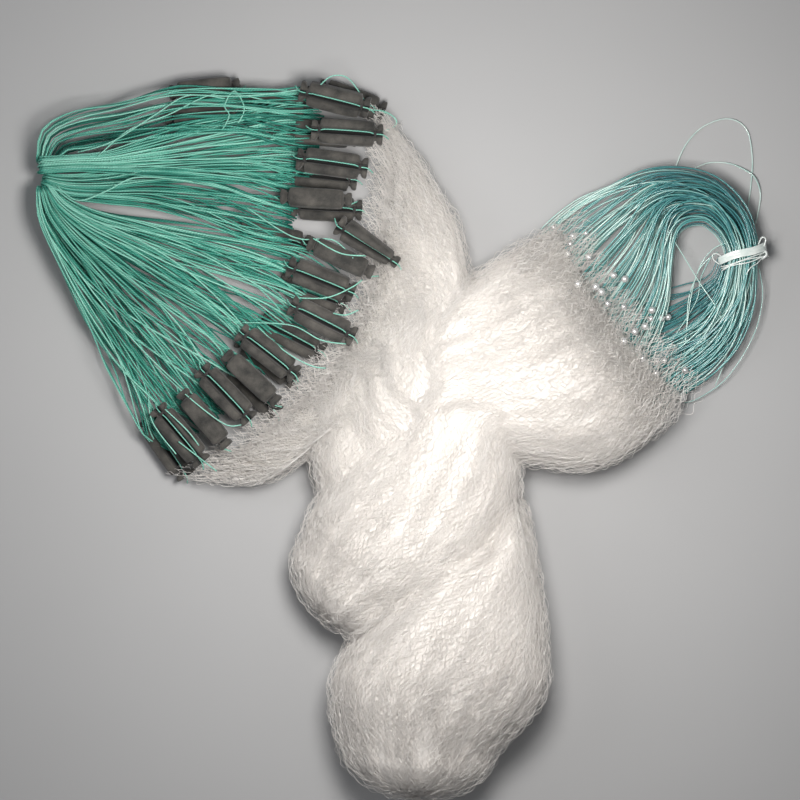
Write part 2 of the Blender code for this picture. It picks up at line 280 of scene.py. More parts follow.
class Strands:
    """Round strands gathered into one mesh, with a map along each strand and a tone for each.

    The map's first number runs round a strand and its second along it, both in metres.
    """

    def __init__(self, sides: int) -> None:
        """Start with no strands, each to have this many sides."""
        self.sides = sides
        self.blocks: list[tuple[np.ndarray, np.ndarray, np.ndarray]] = []

    def add(self, paths: np.ndarray, radius, tone) -> None:
        """Add strands that all have the same number of points.

        Args:
            paths: The points, as strands by points by three, or one strand's points.
            radius: One radius, or one for each strand, or one for each point.
            tone: One number from 0 to 1, or one for each strand, or one for each point.
        """
        paths = paths if paths.ndim == 3 else paths[None]
        count, length = paths.shape[:2]
        spread = []
        for value in (radius, tone):
            value = np.asarray(value, float)
            value = value[:, None] if value.ndim == 1 else value
            spread.append(np.broadcast_to(value, (count, length)))
        self.blocks.append((paths, *spread))

    def build(self, name: str, material: bpy.types.Material) -> bpy.types.Object:
        """Make the mesh of all strands.

        Args:
            name: The new piece's name.
            material: Its finish.

        Returns:
            The new piece.
        """
        verts, loops, sizes, maps, tones = [], [], [], [], []
        start = 0
        for paths, radii, tone in self.blocks:
            block = self._block(paths, radii, start)
            verts.append(block[0])
            for loop, chart in block[1]:
                loops.append(loop.ravel())
                sizes.append(np.full(len(loop), loop.shape[1]))
                maps.append(chart.reshape(-1, 2))
            tones.append(np.repeat(tone.ravel(), self.sides))
            start += len(block[0])
        mesh = bpy.data.meshes.new(name)
        points, corners = np.vstack(verts), np.concatenate(loops)
        totals = np.concatenate(sizes)
        mesh.vertices.add(len(points))
        mesh.vertices.foreach_set("co", points.astype(np.float32).ravel())
        mesh.loops.add(len(corners))
        mesh.loops.foreach_set("vertex_index", corners.astype(np.int32))
        mesh.polygons.add(len(totals))
        starts = np.concatenate([[0], np.cumsum(totals)[:-1]])
        mesh.polygons.foreach_set("loop_start", starts.astype(np.int32))
        mesh.update(calc_edges=True)
        chart = mesh.uv_layers.new(name="run")
        chart.data.foreach_set("uv", np.vstack(maps).astype(np.float32).ravel())
        keep_values(mesh, "tone", np.concatenate(tones))
        mesh.shade_smooth()
        mesh.materials.append(material)
        return new_object(name, mesh)

    def _block(self, paths: np.ndarray, radii: np.ndarray, start: int) -> tuple:
        """Return a block's vertices and its faces with their map, numbered from start."""
        count, length = paths.shape[:2]
        sides = self.sides
        ahead = unit(np.gradient(paths, axis=1))
        across = np.zeros_like(paths)
        side = np.cross(ahead[:, 0], UP)
        upright = np.linalg.norm(side, axis=1) < 1e-3
        side[upright] = (1.0, 0.0, 0.0)
        side = unit(side)
        for k in range(length):
            side = unit(side - np.sum(side * ahead[:, k], axis=1, keepdims=True) * ahead[:, k])
            across[:, k] = side
        other = np.cross(ahead, across)
        turn = math.tau * np.arange(sides) / sides
        ring = (across[:, :, None] * np.cos(turn)[:, None]
                + other[:, :, None] * np.sin(turn)[:, None])
        points = paths[:, :, None] + ring * radii[:, :, None, None]
        index = start + np.arange(count * length * sides).reshape(count, length, sides)
        following = np.roll(index, -1, axis=2)
        quads = np.stack(
            [index[:, :-1], following[:, :-1], following[:, 1:], index[:, 1:]], axis=-1
        ).reshape(-1, 4)
        run = np.linalg.norm(np.diff(paths, axis=1), axis=2)
        along = np.concatenate([np.zeros((count, 1)), np.cumsum(run, axis=1)], axis=1)
        near = np.broadcast_to(along[:, :-1, None], (count, length - 1, sides))
        far = np.broadcast_to(along[:, 1:, None], near.shape)
        girth = math.tau * radii[:, :1, None] / sides
        left = np.arange(sides) * girth + np.zeros(near.shape)
        right = left + girth
        chart = np.stack(
            [np.stack([left, near], -1), np.stack([right, near], -1),
             np.stack([right, far], -1), np.stack([left, far], -1)], axis=-2
        ).reshape(-1, 4, 2)
        first, last = index[:, 0, ::-1], index[:, -1]
        caps = np.concatenate([first, last])
        cap_chart = np.zeros((*caps.shape, 2))
        cap_chart[count:, :, 1] = along[:, -1, None]
        return points.reshape(-1, 3), [(quads, chart), (caps, cap_chart)]


# ---------------------------------------------------------------- the shape of soft bundles
@dataclass(frozen=True)
class Row:
    """One section of a bundle: its middle, which way the bundle runs there, and its size."""

    x: float
    y: float
    z: float
    heading: float          # degrees, anticlockwise from +X
    half_width: float
    half_height: float
    bow: float = 0.0        # how far the middle runs ahead of the two edges


class Bundle:
    """A bundle's shape, read at any place along it and across it."""

    STEPS = 8               # sections read between two rows
    DOME_STEPS = 8          # sections in the dome at a free end
    DOME_TIP = 0.02         # the size of a dome's last section, as a part of its first

    def __init__(self, rows: tuple[Row, ...], dome_in: float = 0.0, dome_out: float = 0.0) -> None:
        """Read the rows.

        Args:
            rows: The sections along the bundle.
            dome_in: The length of the dome at its start.
            dome_out: The length of the dome at its end.
        """
        table = np.array([
            (r.x, r.y, r.z, r.heading, r.half_width, r.half_height, r.bow) for r in rows
        ])
        table = catmull_rom(table, self.STEPS)
        table = np.column_stack([table, np.ones(len(table))])
        turns = np.linspace(0.0, math.pi / 2, self.DOME_STEPS + 1)[1:]
        if dome_in:
            table = np.vstack([self._dome(table[0], -dome_in, turns)[::-1], table])
        if dome_out:
            table = np.vstack([table, self._dome(table[-1], dome_out, turns)])
        self.table = table
        run = np.linalg.norm(np.diff(table[:, :2], axis=0), axis=1)
        self.along = np.concatenate([[0.0], np.cumsum(run)])
        self.length = float(self.along[-1])

    @staticmethod
    def _dome(row: np.ndarray, reach: float, turns: np.ndarray) -> np.ndarray:
        """Return the sections of a dome that starts at a row."""
        heading = math.radians(row[3])
        rows = np.repeat(row[None], len(turns), axis=0)
        rows[:, 0] += reach * np.sin(turns) * math.cos(heading)
        rows[:, 1] += reach * np.sin(turns) * math.sin(heading)
        rows[:, 7] = np.maximum(np.cos(turns), Bundle.DOME_TIP)
        return rows

    def _read(self, part: np.ndarray) -> list[np.ndarray]:
        """Return every column of the table at parts of the bundle's length."""
        at = np.asarray(part) * self.length
        return [np.interp(at, self.along, column) for column in self.table.T]

    def inside(self, part, across, up, lift=0.0) -> np.ndarray:
        """Return points inside the bundle or on its skin.

        Args:
            part: How far along, from 0 to 1.
            across: The place across, from -1 to 1 at the skin.
            up: The place upwards, from -1 to 1 at the skin.
            lift: Metres to add outwards.

        Returns:
            The points.
        """
        x, y, z, heading, width, height, bow, scale = self._read(part)
        turn = np.radians(heading)
        ahead = np.stack([np.cos(turn), np.sin(turn), 0 * turn], -1)
        left = np.stack([-np.sin(turn), np.cos(turn), 0 * turn], -1)
        across, up = np.asarray(across) * scale, np.asarray(up) * scale
        return (
            placed(np.stack([x, y, z], -1))
            + left * (across * (width + lift))[..., None]
            + UP * (up * (height + lift))[..., None]
            + ahead * (bow * (1.0 - across**2))[..., None]
        )

    def skin(self, part, angle, lift=0.0) -> np.ndarray:
        """Return points on the skin at angles round the section."""
        return self.inside(part, np.cos(angle), np.sin(angle), lift)


LEFT_ARM = (
    Row(-0.088, 0.109, 0.008, -27, 0.165, 0.01, 0.053),
    Row(-0.048, 0.088, 0.018, -27, 0.143, 0.021, 0.032),
    Row(-0.013, 0.08, 0.027, -32, 0.104, 0.031, 0.016),
    Row(0.006, 0.056, 0.034, -36, 0.081, 0.039, 0.004),
    Row(0.026, 0.034, 0.037, -40, 0.062, 0.041),
)
RIGHT_ARM = (
    Row(0.178, 0.098, 0.01, -144, 0.088, 0.012, 0.012),
    Row(0.144, 0.072, 0.027, -144, 0.093, 0.031, -0.002),
    Row(0.106, 0.051, 0.036, -150, 0.09, 0.041, -0.008),
    Row(0.064, 0.046, 0.038, -159, 0.071, 0.045, -0.004),
    Row(0.02, 0.044, 0.036, -170, 0.055, 0.043),
    Row(-0.013, 0.044, 0.028, -170, 0.039, 0.031),
)
BACK_FOLD = (
    Row(-0.006, 0.026, 0.027, -125, 0.04, 0.032),
    Row(-0.028, -0.006, 0.026, -100, 0.042, 0.032),
    Row(-0.033, -0.038, 0.026, -80, 0.035, 0.031),
    Row(-0.014, -0.07, 0.026, -60, 0.032, 0.03),
)
UPPER_LOBE = (
    Row(0.048, 0.014, 0.036, -112, 0.043, 0.042),
    Row(0.039, -0.023, 0.038, -118, 0.059, 0.045),
    Row(0.011, -0.066, 0.038, -124, 0.068, 0.045),
    Row(-0.017, -0.098, 0.037, -129, 0.067, 0.044),
    Row(-0.04, -0.125, 0.031, -131, 0.055, 0.037),
)
LOWER_LOBE = (
    Row(0.086, -0.07, 0.031, -100, 0.012, 0.029),
    Row(0.084, -0.098, 0.037, -112, 0.022, 0.037),
    Row(0.069, -0.136, 0.043, -124, 0.052, 0.044),
    Row(0.047, -0.172, 0.044, -116, 0.073, 0.049),
    Row(0.02, -0.212, 0.042, -105, 0.077, 0.048),
    Row(0.012, -0.25, 0.036, -94, 0.062, 0.042),
)
LEAD_RING = (
    Row(0.15, 0.105, 0.006, 37, 0.07, 0.005, -0.012),
    Row(0.164, 0.123, 0.01, 36, 0.068, 0.009, -0.01),
    Row(0.184, 0.151, 0.016, 35, 0.057, 0.014, -0.003),
    Row(0.209, 0.187, 0.019, 26, 0.034, 0.017),
    Row(0.242, 0.191, 0.019, -4, 0.025, 0.017),
    Row(0.264, 0.175, 0.018, -48, 0.02, 0.0155),
    Row(0.274, 0.153, 0.017, -82, 0.0175, 0.013),
    Row(0.274, 0.137, 0.017, -89, 0.0175, 0.013),
    Row(0.269, 0.108, 0.015, -97, 0.025, 0.013),
    Row(0.256, 0.082, 0.013, -114, 0.03, 0.011),
    Row(0.238, 0.064, 0.01, -132, 0.031, 0.009),
    Row(0.216, 0.05, 0.008, -143, 0.028, 0.007),
    Row(0.192, 0.031, 0.007, -143, 0.028, 0.006),
)
INNER_RUNS = (
    Row(0.266, 0.142, 0.012, -95, 0.01, 0.006),
    Row(0.26, 0.122, 0.01, -112, 0.013, 0.006),
    Row(0.245, 0.105, 0.008, -140, 0.02, 0.005),
    Row(0.224, 0.091, 0.007, -156, 0.027, 0.004),
    Row(0.196, 0.078, 0.006, -162, 0.034, 0.004),
)
TOP_SWEEP = (
    Row(-0.288, 0.22, 0.016, 66, 0.008, 0.013),
    Row(-0.28, 0.236, 0.018, 50, 0.014, 0.014),
    Row(-0.258, 0.244, 0.019, 20, 0.017, 0.013),
    Row(-0.225, 0.25, 0.021, 10, 0.017, 0.009),
    Row(-0.18, 0.26, 0.0245, 5, 0.02, 0.003),
    Row(-0.13, 0.261, 0.0235, -2, 0.02, 0.003),
    Row(-0.09, 0.257, 0.019, -5, 0.025, 0.0025),
    Row(-0.062, 0.256, 0.01, -5, 0.024, 0.003),
)
BELT = (
    Row(-0.29, 0.216, 0.023, 0, 0.007, 0.008),
    Row(-0.262, 0.2175, 0.026, 2, 0.0068, 0.007),
    Row(-0.236, 0.2185, 0.026, 6, 0.009, 0.006),
    Row(-0.2, 0.2235, 0.024, 10, 0.017, 0.006),
    Row(-0.16, 0.229, 0.021, 10, 0.026, 0.006),
    Row(-0.12, 0.233, 0.0185, 6, 0.032, 0.004),
    Row(-0.098, 0.235, 0.015, 2, 0.036, 0.003),
    Row(-0.072, 0.235, 0.0085, 0, 0.038, 0.003),
)
MIDDLE_FAN = (
    Row(-0.287, 0.2035, 0.017, -20, 0.006, 0.012),
    Row(-0.27, 0.199, 0.018, -12, 0.01, 0.012),
    Row(-0.24, 0.1985, 0.017, 2, 0.013, 0.01),
    Row(-0.2, 0.2, 0.015, 0, 0.019, 0.009),
    Row(-0.15, 0.195, 0.014, -8, 0.028, 0.008),
    Row(-0.105, 0.185, 0.0185, -12, 0.036, 0.003),
    Row(-0.084, 0.18, 0.01, -12, 0.038, 0.003),
)
LOWER_FAN = (
    Row(-0.288, 0.196, 0.016, -75, 0.008, 0.013),
    Row(-0.28, 0.18, 0.018, -62, 0.016, 0.014),
    Row(-0.261, 0.161, 0.019, -50, 0.028, 0.015),
    Row(-0.228, 0.137, 0.018, -46, 0.05, 0.013),
    Row(-0.19, 0.11, 0.016, -44, 0.073, 0.01, 0.004),
    Row(-0.154, 0.084, 0.0185, -44, 0.093, 0.004, 0.01),
    Row(-0.138, 0.07, 0.016, -44, 0.1, 0.0025, 0.013),
    Row(-0.12, 0.056, 0.0095, -44, 0.102, 0.003, 0.016),
)


# ---------------------------------------------------------------- finishes
class NodeTree:
    """Short ways to add and join the nodes of a material or a group."""

    def __init__(self, tree: bpy.types.NodeTree) -> None:
        """Work on this tree."""
        self.tree = tree

    def add(self, kind: str, **settings) -> bpy.types.Node:
        """Add a node.

        Args:
            kind: The node's type, without the ShaderNode that starts it.
            settings: Its properties, by name.

        Returns:
            The new node.
        """
        node = self.tree.nodes.new(f"ShaderNode{kind}")
        for name, value in settings.items():
            setattr(node, name, value)
        return node

    def feed(self, node: bpy.types.Node, **values) -> bpy.types.Node:
        """Set or link a node's inputs.

        Args:
            node: The node to feed.
            values: Sockets or plain values; a name has _ for each space, or is i and a number.

        Returns:
            The same node.
        """
        for name, value in values.items():
            numbered = name[0] == "i" and name[1:].isdigit()
            self.assign(node.inputs[int(name[1:]) if numbered else name.replace("_", " ")], value)
        return node

    def assign(self, socket: bpy.types.NodeSocket, value) -> None:
        """Link another socket to an input, or give it a plain value."""
        if isinstance(value, bpy.types.NodeSocket):
            self.tree.links.new(value, socket)
        else:
            socket.default_value = value

    def math(self, operation: str, first, second=0.0, clamp: bool = False) -> bpy.types.NodeSocket:
        """Return the result of a Math node on two values or sockets."""
        node = self.add("Math", operation=operation, use_clamp=clamp)
        return self.feed(node, i0=first, i1=second).outputs[0]

    def mix(self, factor, first, second) -> bpy.types.NodeSocket:
        """Return the colour that a factor takes between two colours."""
        node = self.add("Mix", data_type="RGBA")
        return self.feed(node, i0=factor, i6=first, i7=second).outputs[2]

    def total(self, first, first_part: float, second, second_part: float) -> bpy.types.NodeSocket:
        """Return two values added up, each times its part."""
        return self.math("ADD", self.math("MULTIPLY", first, first_part),
                         self.math("MULTIPLY", second, second_part))

    def attribute(self, name: str) -> bpy.types.NodeSocket:
        """Return one of the numbers kept on the mesh."""
        node = self.add("Attribute", attribute_type="GEOMETRY", attribute_name=name)
        return node.outputs["Fac"]

    def chart(self, name: str) -> bpy.types.NodeSocket:
        """Return one of the mesh's maps."""
        return self.add("UVMap", uv_map=name).outputs[0]

    def place(self) -> bpy.types.NodeSocket:
        """Return the place in the object's own frame."""
        return self.add("TexCoord").outputs["Object"]

    def ramp(self, factor: bpy.types.NodeSocket,
             *stops: tuple[float, tuple]) -> bpy.types.NodeSocket:
        """Return the colour of a ramp.

        Args:
            factor: Where on the ramp.
            stops: The places and their colours.

        Returns:
            The colour socket.
        """
        node = self.add("ValToRGB")
        elements = node.color_ramp.elements
        while len(elements) < len(stops):
            elements.new(0.5)
        for element, (place, colour) in zip(elements, stops):
            element.position = place
            element.color = colour
        self.tree.links.new(factor, node.inputs[0])
        return node.outputs[0]

    def call(self, group: bpy.types.NodeTree, **values) -> bpy.types.Node:
        """Add a node group and feed its inputs."""
        return self.feed(self.add("Group", node_tree=group), **values)

    def fibres(self, vector: bpy.types.NodeSocket, across: float,
               along: float) -> tuple[bpy.types.NodeSocket, bpy.types.NodeSocket]:
        """Return the fine and the broad fibres along a map."""
        node = self.call(fibre_group(), Vector=vector, Across=across, Along=along)
        return node.outputs["Fine"], node.outputs["Broad"]


def new_group(name: str, inputs: tuple, outputs: tuple) -> tuple[NodeTree, dict, bpy.types.Node]:
    """Start a shader node group.

    Args:
        name: The group's name.
        inputs: Pairs of a socket's name and its type or plain value.
        outputs: Names of the value outputs.

    Returns:
        The tree, the input sockets by name, and the output node.
    """
    group = bpy.data.node_groups.new(name, "ShaderNodeTree")
    for label, value in inputs:
        kind = "NodeSocketVector" if value is None else "NodeSocketFloat"
        socket = group.interface.new_socket(name=label, in_out="INPUT", socket_type=kind)
        if value is not None:
            socket.default_value = value
    for label in outputs:
        group.interface.new_socket(name=label, in_out="OUTPUT", socket_type="NodeSocketFloat")
    tree = NodeTree(group)
    source = group.nodes.new("NodeGroupInput")
    sink = group.nodes.new("NodeGroupOutput")
    return tree, {label: source.outputs[label] for label, _ in inputs}, sink


def fibre_group() -> bpy.types.NodeTree:
    """Return the group that draws fine fibres along a map, made once."""
    made = bpy.data.node_groups.get("fibres")
    if made:
        return made
    tree, given, sink = new_group(
        "fibres", (("Vector", None), ("Across", 1.0), ("Along", 1.0)), ("Fine", "Broad")
    )
    parts = tree.feed(tree.add("SeparateXYZ"), i0=given["Vector"])
    stretched = tree.add("CombineXYZ")
    tree.feed(stretched, X=tree.math("MULTIPLY", parts.outputs[0], given["Across"]),
              Y=tree.math("MULTIPLY", parts.outputs[1], given["Along"]), Z=parts.outputs[2])
    fine = tree.feed(tree.add("TexNoise"), Vector=stretched.outputs[0], Scale=1.0, Detail=4.0,
                     Roughness=0.65, Distortion=0.6)
    broad = tree.feed(tree.add("TexNoise"), Vector=stretched.outputs[0], Scale=0.22, Detail=3.0,
                      Roughness=0.6, Distortion=0.3)
    tree.feed(sink, Fine=fine.outputs["Fac"], Broad=broad.outputs["Fac"])
    return tree.tree


def twist_group() -> bpy.types.NodeTree:
    """Return the group that draws the strands of a twisted line, made once."""
    made = bpy.data.node_groups.get("twist")
    if made:
        return made
    tree, given, sink = new_group(
        "twist", (("Vector", None), ("Girth", 0.0047), ("Pitch", 0.0024), ("Plies", 2.0)),
        ("Ridge",)
    )
    parts = tree.feed(tree.add("SeparateXYZ"), i0=given["Vector"])
    round_part = tree.math("DIVIDE", parts.outputs[0], given["Girth"])
    long_part = tree.math("DIVIDE", parts.outputs[1], given["Pitch"])
    plies = tree.math("MULTIPLY", round_part, given["Plies"])
    turn = tree.math("MULTIPLY", tree.math("ADD", plies, long_part), math.tau)
    ridge = tree.math("MULTIPLY_ADD", tree.math("SINE", turn), 0.5)
    ridge.node.inputs[2].default_value = 0.5
    tree.feed(sink, Ridge=ridge)
    return tree.tree


@dataclass(frozen=True)
class Finish:
    """A finish with a shader of its own; each kind adds its nodes in dress."""

    name: str
    roughness: float = 0.5
    specular: float = 0.5
    coat: float = 0.0
    sheen: float = 0.0
    metallic: float = 0.0

    def material(self) -> bpy.types.Material:
        """Return the finish's material, made the first time it is asked for."""
        made = bpy.data.materials.get(self.name)
        if made is None:
            made = bpy.data.materials.new(self.name)
            made.use_nodes = True
            tree = NodeTree(made.node_tree)
            shader = made.node_tree.nodes["Principled BSDF"]
            tree.feed(shader, Roughness=self.roughness, Metallic=self.metallic,
                      Specular_IOR_Level=self.specular, Coat_Weight=self.coat,
                      Sheen_Weight=self.sheen)
            self.dress(tree, shader)
        return made

    def dress(self, tree: NodeTree, shader: bpy.types.Node) -> None:
        """Add the finish's own nodes."""

    def vary_roughness(self, tree: NodeTree, shader: bpy.types.Node, value) -> None:
        """Let the roughness follow a value, about the finish's own."""
        swing = 0.3 * self.roughness
        result = tree.math("MULTIPLY_ADD", value, swing)
        result.node.inputs[2].default_value = self.roughness - swing / 2
        tree.feed(shader, Roughness=result)

    @staticmethod
    def bump(tree: NodeTree, shader: bpy.types.Node, height, strength: float,
             distance: float) -> None:
        """Feed a height to the shader's normal."""
        node = tree.feed(tree.add("Bump"), Strength=strength, Distance=distance, Height=height)
        tree.feed(shader, Normal=node.outputs[0])


@dataclass(frozen=True)
class NettingFinish(Finish):
    """The mass of white netting: fine fibres that follow the bundle, thinner at its two edges."""

    light: tuple = (0.88, 0.845, 0.81, 1.0)
    shade: tuple = (0.72, 0.68, 0.645, 1.0)
    thin: tuple = (0.56, 0.53, 0.485, 1.0)      # painted shade: the darker grey where it is sparse, at the floats and leads
    edge: float = 7.0                           # how sharply the cover ends
    clearing: float = 1.72                      # how soon the painted shade of the sparse part is left

    def dress(self, tree: NodeTree, shader: bpy.types.Node) -> None:
        """Add fibres to the colour, the relief and the alpha."""
        fine, _ = tree.fibres(tree.chart("flow"), 1700.0, 420.0)
        colour = tree.ramp(fine, (0.32, self.shade), (0.62, self.light))
        self.bump(tree, shader, fine, 0.5, 0.0005)
        solid = tree.attribute("solid")
        dense = tree.math("MULTIPLY", tree.math("SUBTRACT", solid, SPARSE), self.clearing,
                          clamp=True)
        # painted shade: the colour turns to the thin grey where the netting is sparse
        tree.feed(shader, Base_Color=tree.mix(dense, self.thin, colour))
        self.vary_roughness(tree, shader, fine)
        cover = tree.math("ADD", solid, tree.math("SUBTRACT", fine, 0.5))
        cover = tree.math("SUBTRACT", cover, SPARSE)
        tree.feed(shader, Alpha=tree.math("MULTIPLY", cover, self.edge, clamp=True))


@dataclass(frozen=True)
class FilamentFinish(Finish):
    """One filament of the netting: clear white nylon, each with its own tone."""

    light: tuple = (0.92, 0.89, 0.86, 1.0)
    shade: tuple = (0.76, 0.72, 0.685, 1.0)

    def dress(self, tree: NodeTree, shader: bpy.types.Node) -> None:
        """Add the tone of each filament and slight kinks along it."""
        fine, broad = tree.fibres(tree.chart("run"), 400.0, 260.0)
        mixed = tree.total(broad, 0.5, tree.attribute("tone"), 0.75)
        tree.feed(shader, Base_Color=tree.ramp(mixed, (0.2, self.shade), (0.75, self.light)))
        self.vary_roughness(tree, shader, fine)
        self.bump(tree, shader, fine, 0.2, 0.0001)


@dataclass(frozen=True)
class LineFinish(Finish):
    """A line's finish: a ramp of tones, with strands twisted round it where it is laid up."""

    deep: tuple = (0.012, 0.12, 0.095, 1.0)
    body: tuple = (0.048, 0.335, 0.25, 1.0)
    pale: tuple = (0.33, 0.72, 0.59, 1.0)
    ridge: float = 0.0          # how much the twist shows in the relief
    girth: float = 0.0047

    def dress(self, tree: NodeTree, shader: bpy.types.Node) -> None:
        """Add the tones along the line and the twist."""
        chart = tree.chart("run")
        fine, broad = tree.fibres(chart, 300.0, 90.0)
        mixed = tree.total(broad, 0.5, tree.attribute("tone"), 0.7)
        if self.ridge:
            ridge = tree.call(twist_group(), Vector=chart, Girth=self.girth).outputs["Ridge"]
            mixed = tree.total(mixed, 1.0, tree.math("SUBTRACT", ridge, 0.5), 0.22)
            self.bump(tree, shader, ridge, self.ridge, 0.0003)
        else:
            self.bump(tree, shader, fine, 0.15, 0.0001)
        tree.feed(shader, Base_Color=tree.ramp(
            mixed, (0.18, self.deep), (0.55, self.body), (0.95, self.pale)))
        self.vary_roughness(tree, shader, fine)


@dataclass(frozen=True)
class FoamFinish(Finish):
    """Charcoal foam: closed cells, rubbed paler on broad places."""

    dark: tuple = (0.026, 0.026, 0.0245, 1.0)
    rubbed: tuple = (0.112, 0.104, 0.093, 1.0)
    slit: tuple = (0.006, 0.006, 0.006, 1.0)    # painted shade inside the slit, where the skin's value falls to none
    cells: float = 1400.0                       # how many cells there are in a metre

    def dress(self, tree: NodeTree, shader: bpy.types.Node) -> None:
        """Add cells, rubbed places and the painted shade inside the slit."""
        place = tree.place()
        cells, _ = tree.fibres(place, self.cells, self.cells)
        worn = tree.feed(tree.add("TexNoise"), Vector=place, Scale=70.0, Detail=4.0, Roughness=0.6)
        tone = tree.total(worn.outputs["Fac"], 0.75, cells, 0.25)
        colour = tree.ramp(tone, (0.36, self.dark), (0.66, self.rubbed))
        # painted shade: where the skin value is none, in the slit, the colour turns near black
        tree.feed(shader, Base_Color=tree.mix(tree.attribute("skin"), self.slit, colour))
        self.vary_roughness(tree, shader, tone)
        self.bump(tree, shader, cells, 0.5, 0.0006)


@dataclass(frozen=True)
class PlainFinish(Finish):
    """A finish of two near tones in soft patches, with fine relief."""

    first: tuple = (0.8, 0.8, 0.8, 1.0)
    second: tuple = (0.6, 0.6, 0.6, 1.0)
    grain: float = 300.0
    relief: float = 0.2

    def dress(self, tree: NodeTree, shader: bpy.types.Node) -> None:
        """Add the patches and the relief."""
        fine, broad = tree.fibres(tree.place(), self.grain, self.grain)
        tree.feed(shader, Base_Color=tree.ramp(broad, (0.35, self.second), (0.65, self.first)))
        self.vary_roughness(tree, shader, fine)
        self.bump(tree, shader, fine, self.relief, 0.0004)


NETTING_MASS = NettingFinish("white_netting_mass", roughness=0.6, specular=0.3, sheen=0.3)
FILAMENT = FilamentFinish("white_netting_filament", roughness=0.38, specular=0.5)
FLOAT_LINE = LineFinish("green_float_line", roughness=0.4, specular=0.4, ridge=0.8)
LEAD_LINE = LineFinish(
    "teal_monofilament", roughness=0.24, specular=0.7, coat=0.3,
    deep=(0.025, 0.12, 0.15, 1.0), body=(0.1, 0.35, 0.34, 1.0), pale=(0.6, 0.8, 0.74, 1.0),
)
CLEAR_LINE = LineFinish(
    "clear_pale_monofilament", roughness=0.15, specular=0.8, coat=0.4,
    deep=(0.38, 0.46, 0.44, 1.0), body=(0.62, 0.72, 0.69, 1.0), pale=(0.88, 0.92, 0.9, 1.0),
)
BIGHT_LINE = PlainFinish(
    "pale_loose_monofilament", roughness=0.15, coat=0.4, first=(0.72, 0.83, 0.79, 1.0),
    second=(0.45, 0.62, 0.58, 1.0), grain=140.0, relief=0.05,
)
FOAM = FoamFinish("charcoal_foam", roughness=0.82, specular=0.35, sheen=0.15)
TIE_THREAD = PlainFinish(
    "black_tie_thread", roughness=0.6, first=(0.035, 0.034, 0.034, 1.0),
    second=(0.012, 0.012, 0.012, 1.0), grain=900.0, relief=0.5,
)
LEAD = PlainFinish(
    "bright_lead", roughness=0.22, metallic=0.6, specular=0.7, first=(0.95, 0.95, 0.94, 1.0),
    second=(0.66, 0.66, 0.66, 1.0), grain=700.0, relief=0.3,
)
WHITE_BAND = PlainFinish(
    "white_glossy_band", roughness=0.2, coat=0.5, first=(0.9, 0.93, 0.91, 1.0),
    second=(0.66, 0.76, 0.73, 1.0), grain=260.0, relief=0.25,
)
FLOOR = PlainFinish(
    "pale_floor", roughness=0.85, specular=0.25, first=(0.46, 0.46, 0.465, 1.0),
    second=(0.445, 0.445, 0.45, 1.0), grain=12.0, relief=0.05,
)


# ---------------------------------------------------------------- camera, cords, floor, light
@dataclass
class Studio:
    """The camera straight above, the floor and the soft lights."""

    aim: tuple = (-0.0033, 0.0265)
    height: float = 2.2
    subject_height: float = 0.045
    lens: float = 123.75
    floor_size: float = 8.0
    floor_level: float = -0.0004            # just under what rests on it
    lit: tuple = (0.02, 0.0, 0.03)          # where the lights point

    def camera(self) -> None:
        """Put the camera above the net, looking straight down."""
        data = bpy.data.cameras.new("camera")
        data.lens = self.lens
        data.clip_start, data.clip_end = 0.05, 50.0
        camera = new_object("camera", data)
        camera.location = (*self.aim, self.height + self.subject_height)
        bpy.context.scene.camera = camera

    def floor(self) -> None:
        """Lay the pale floor under the net."""
        deselect()
        bpy.ops.mesh.primitive_plane_add(size=self.floor_size, location=(0, 0, self.floor_level))
        floor = settle(bpy.context.active_object)
        floor.name = "floor"
        floor.data.materials.append(FLOOR.material())

    def light(self, name: str, place: tuple, size: float, power: float, colour: tuple) -> None:
        """Hang one soft square light that points at the net's middle."""
        data = bpy.data.lights.new(name, "AREA")
        data.size, data.energy, data.color = size, power, colour
        lamp = new_object(name, data)
        lamp.location = place
        toward = Vector(self.lit) - Vector(place)
        lamp.rotation_mode = "QUATERNION"
        lamp.rotation_quaternion = toward.to_track_quat("-Z", "Y")

    def lights(self) -> None:
        """Hang the key over the middle, two soft fills, and light the room dimly."""
        self.light("key", (0.03, 0.1, 0.58), 0.22, 4.0, (1.0, 0.98, 0.95))
        self.light("fill_left", (-1.3, 0.5, 1.0), 0.9, 4.6, (0.98, 0.99, 1.0))
        self.light("fill_right", (1.3, -0.6, 1.1), 0.9, 1.5, (1.0, 0.96, 0.92))
        world = bpy.data.worlds.new("room")
        bpy.context.scene.world = world
        world.use_nodes = True
        background = world.node_tree.nodes["Background"]
        background.inputs["Color"].default_value = (0.93, 0.96, 1.0, 1.0)
        background.inputs["Strength"].default_value = 0.15
        bpy.context.scene.view_settings.view_transform = "Standard"


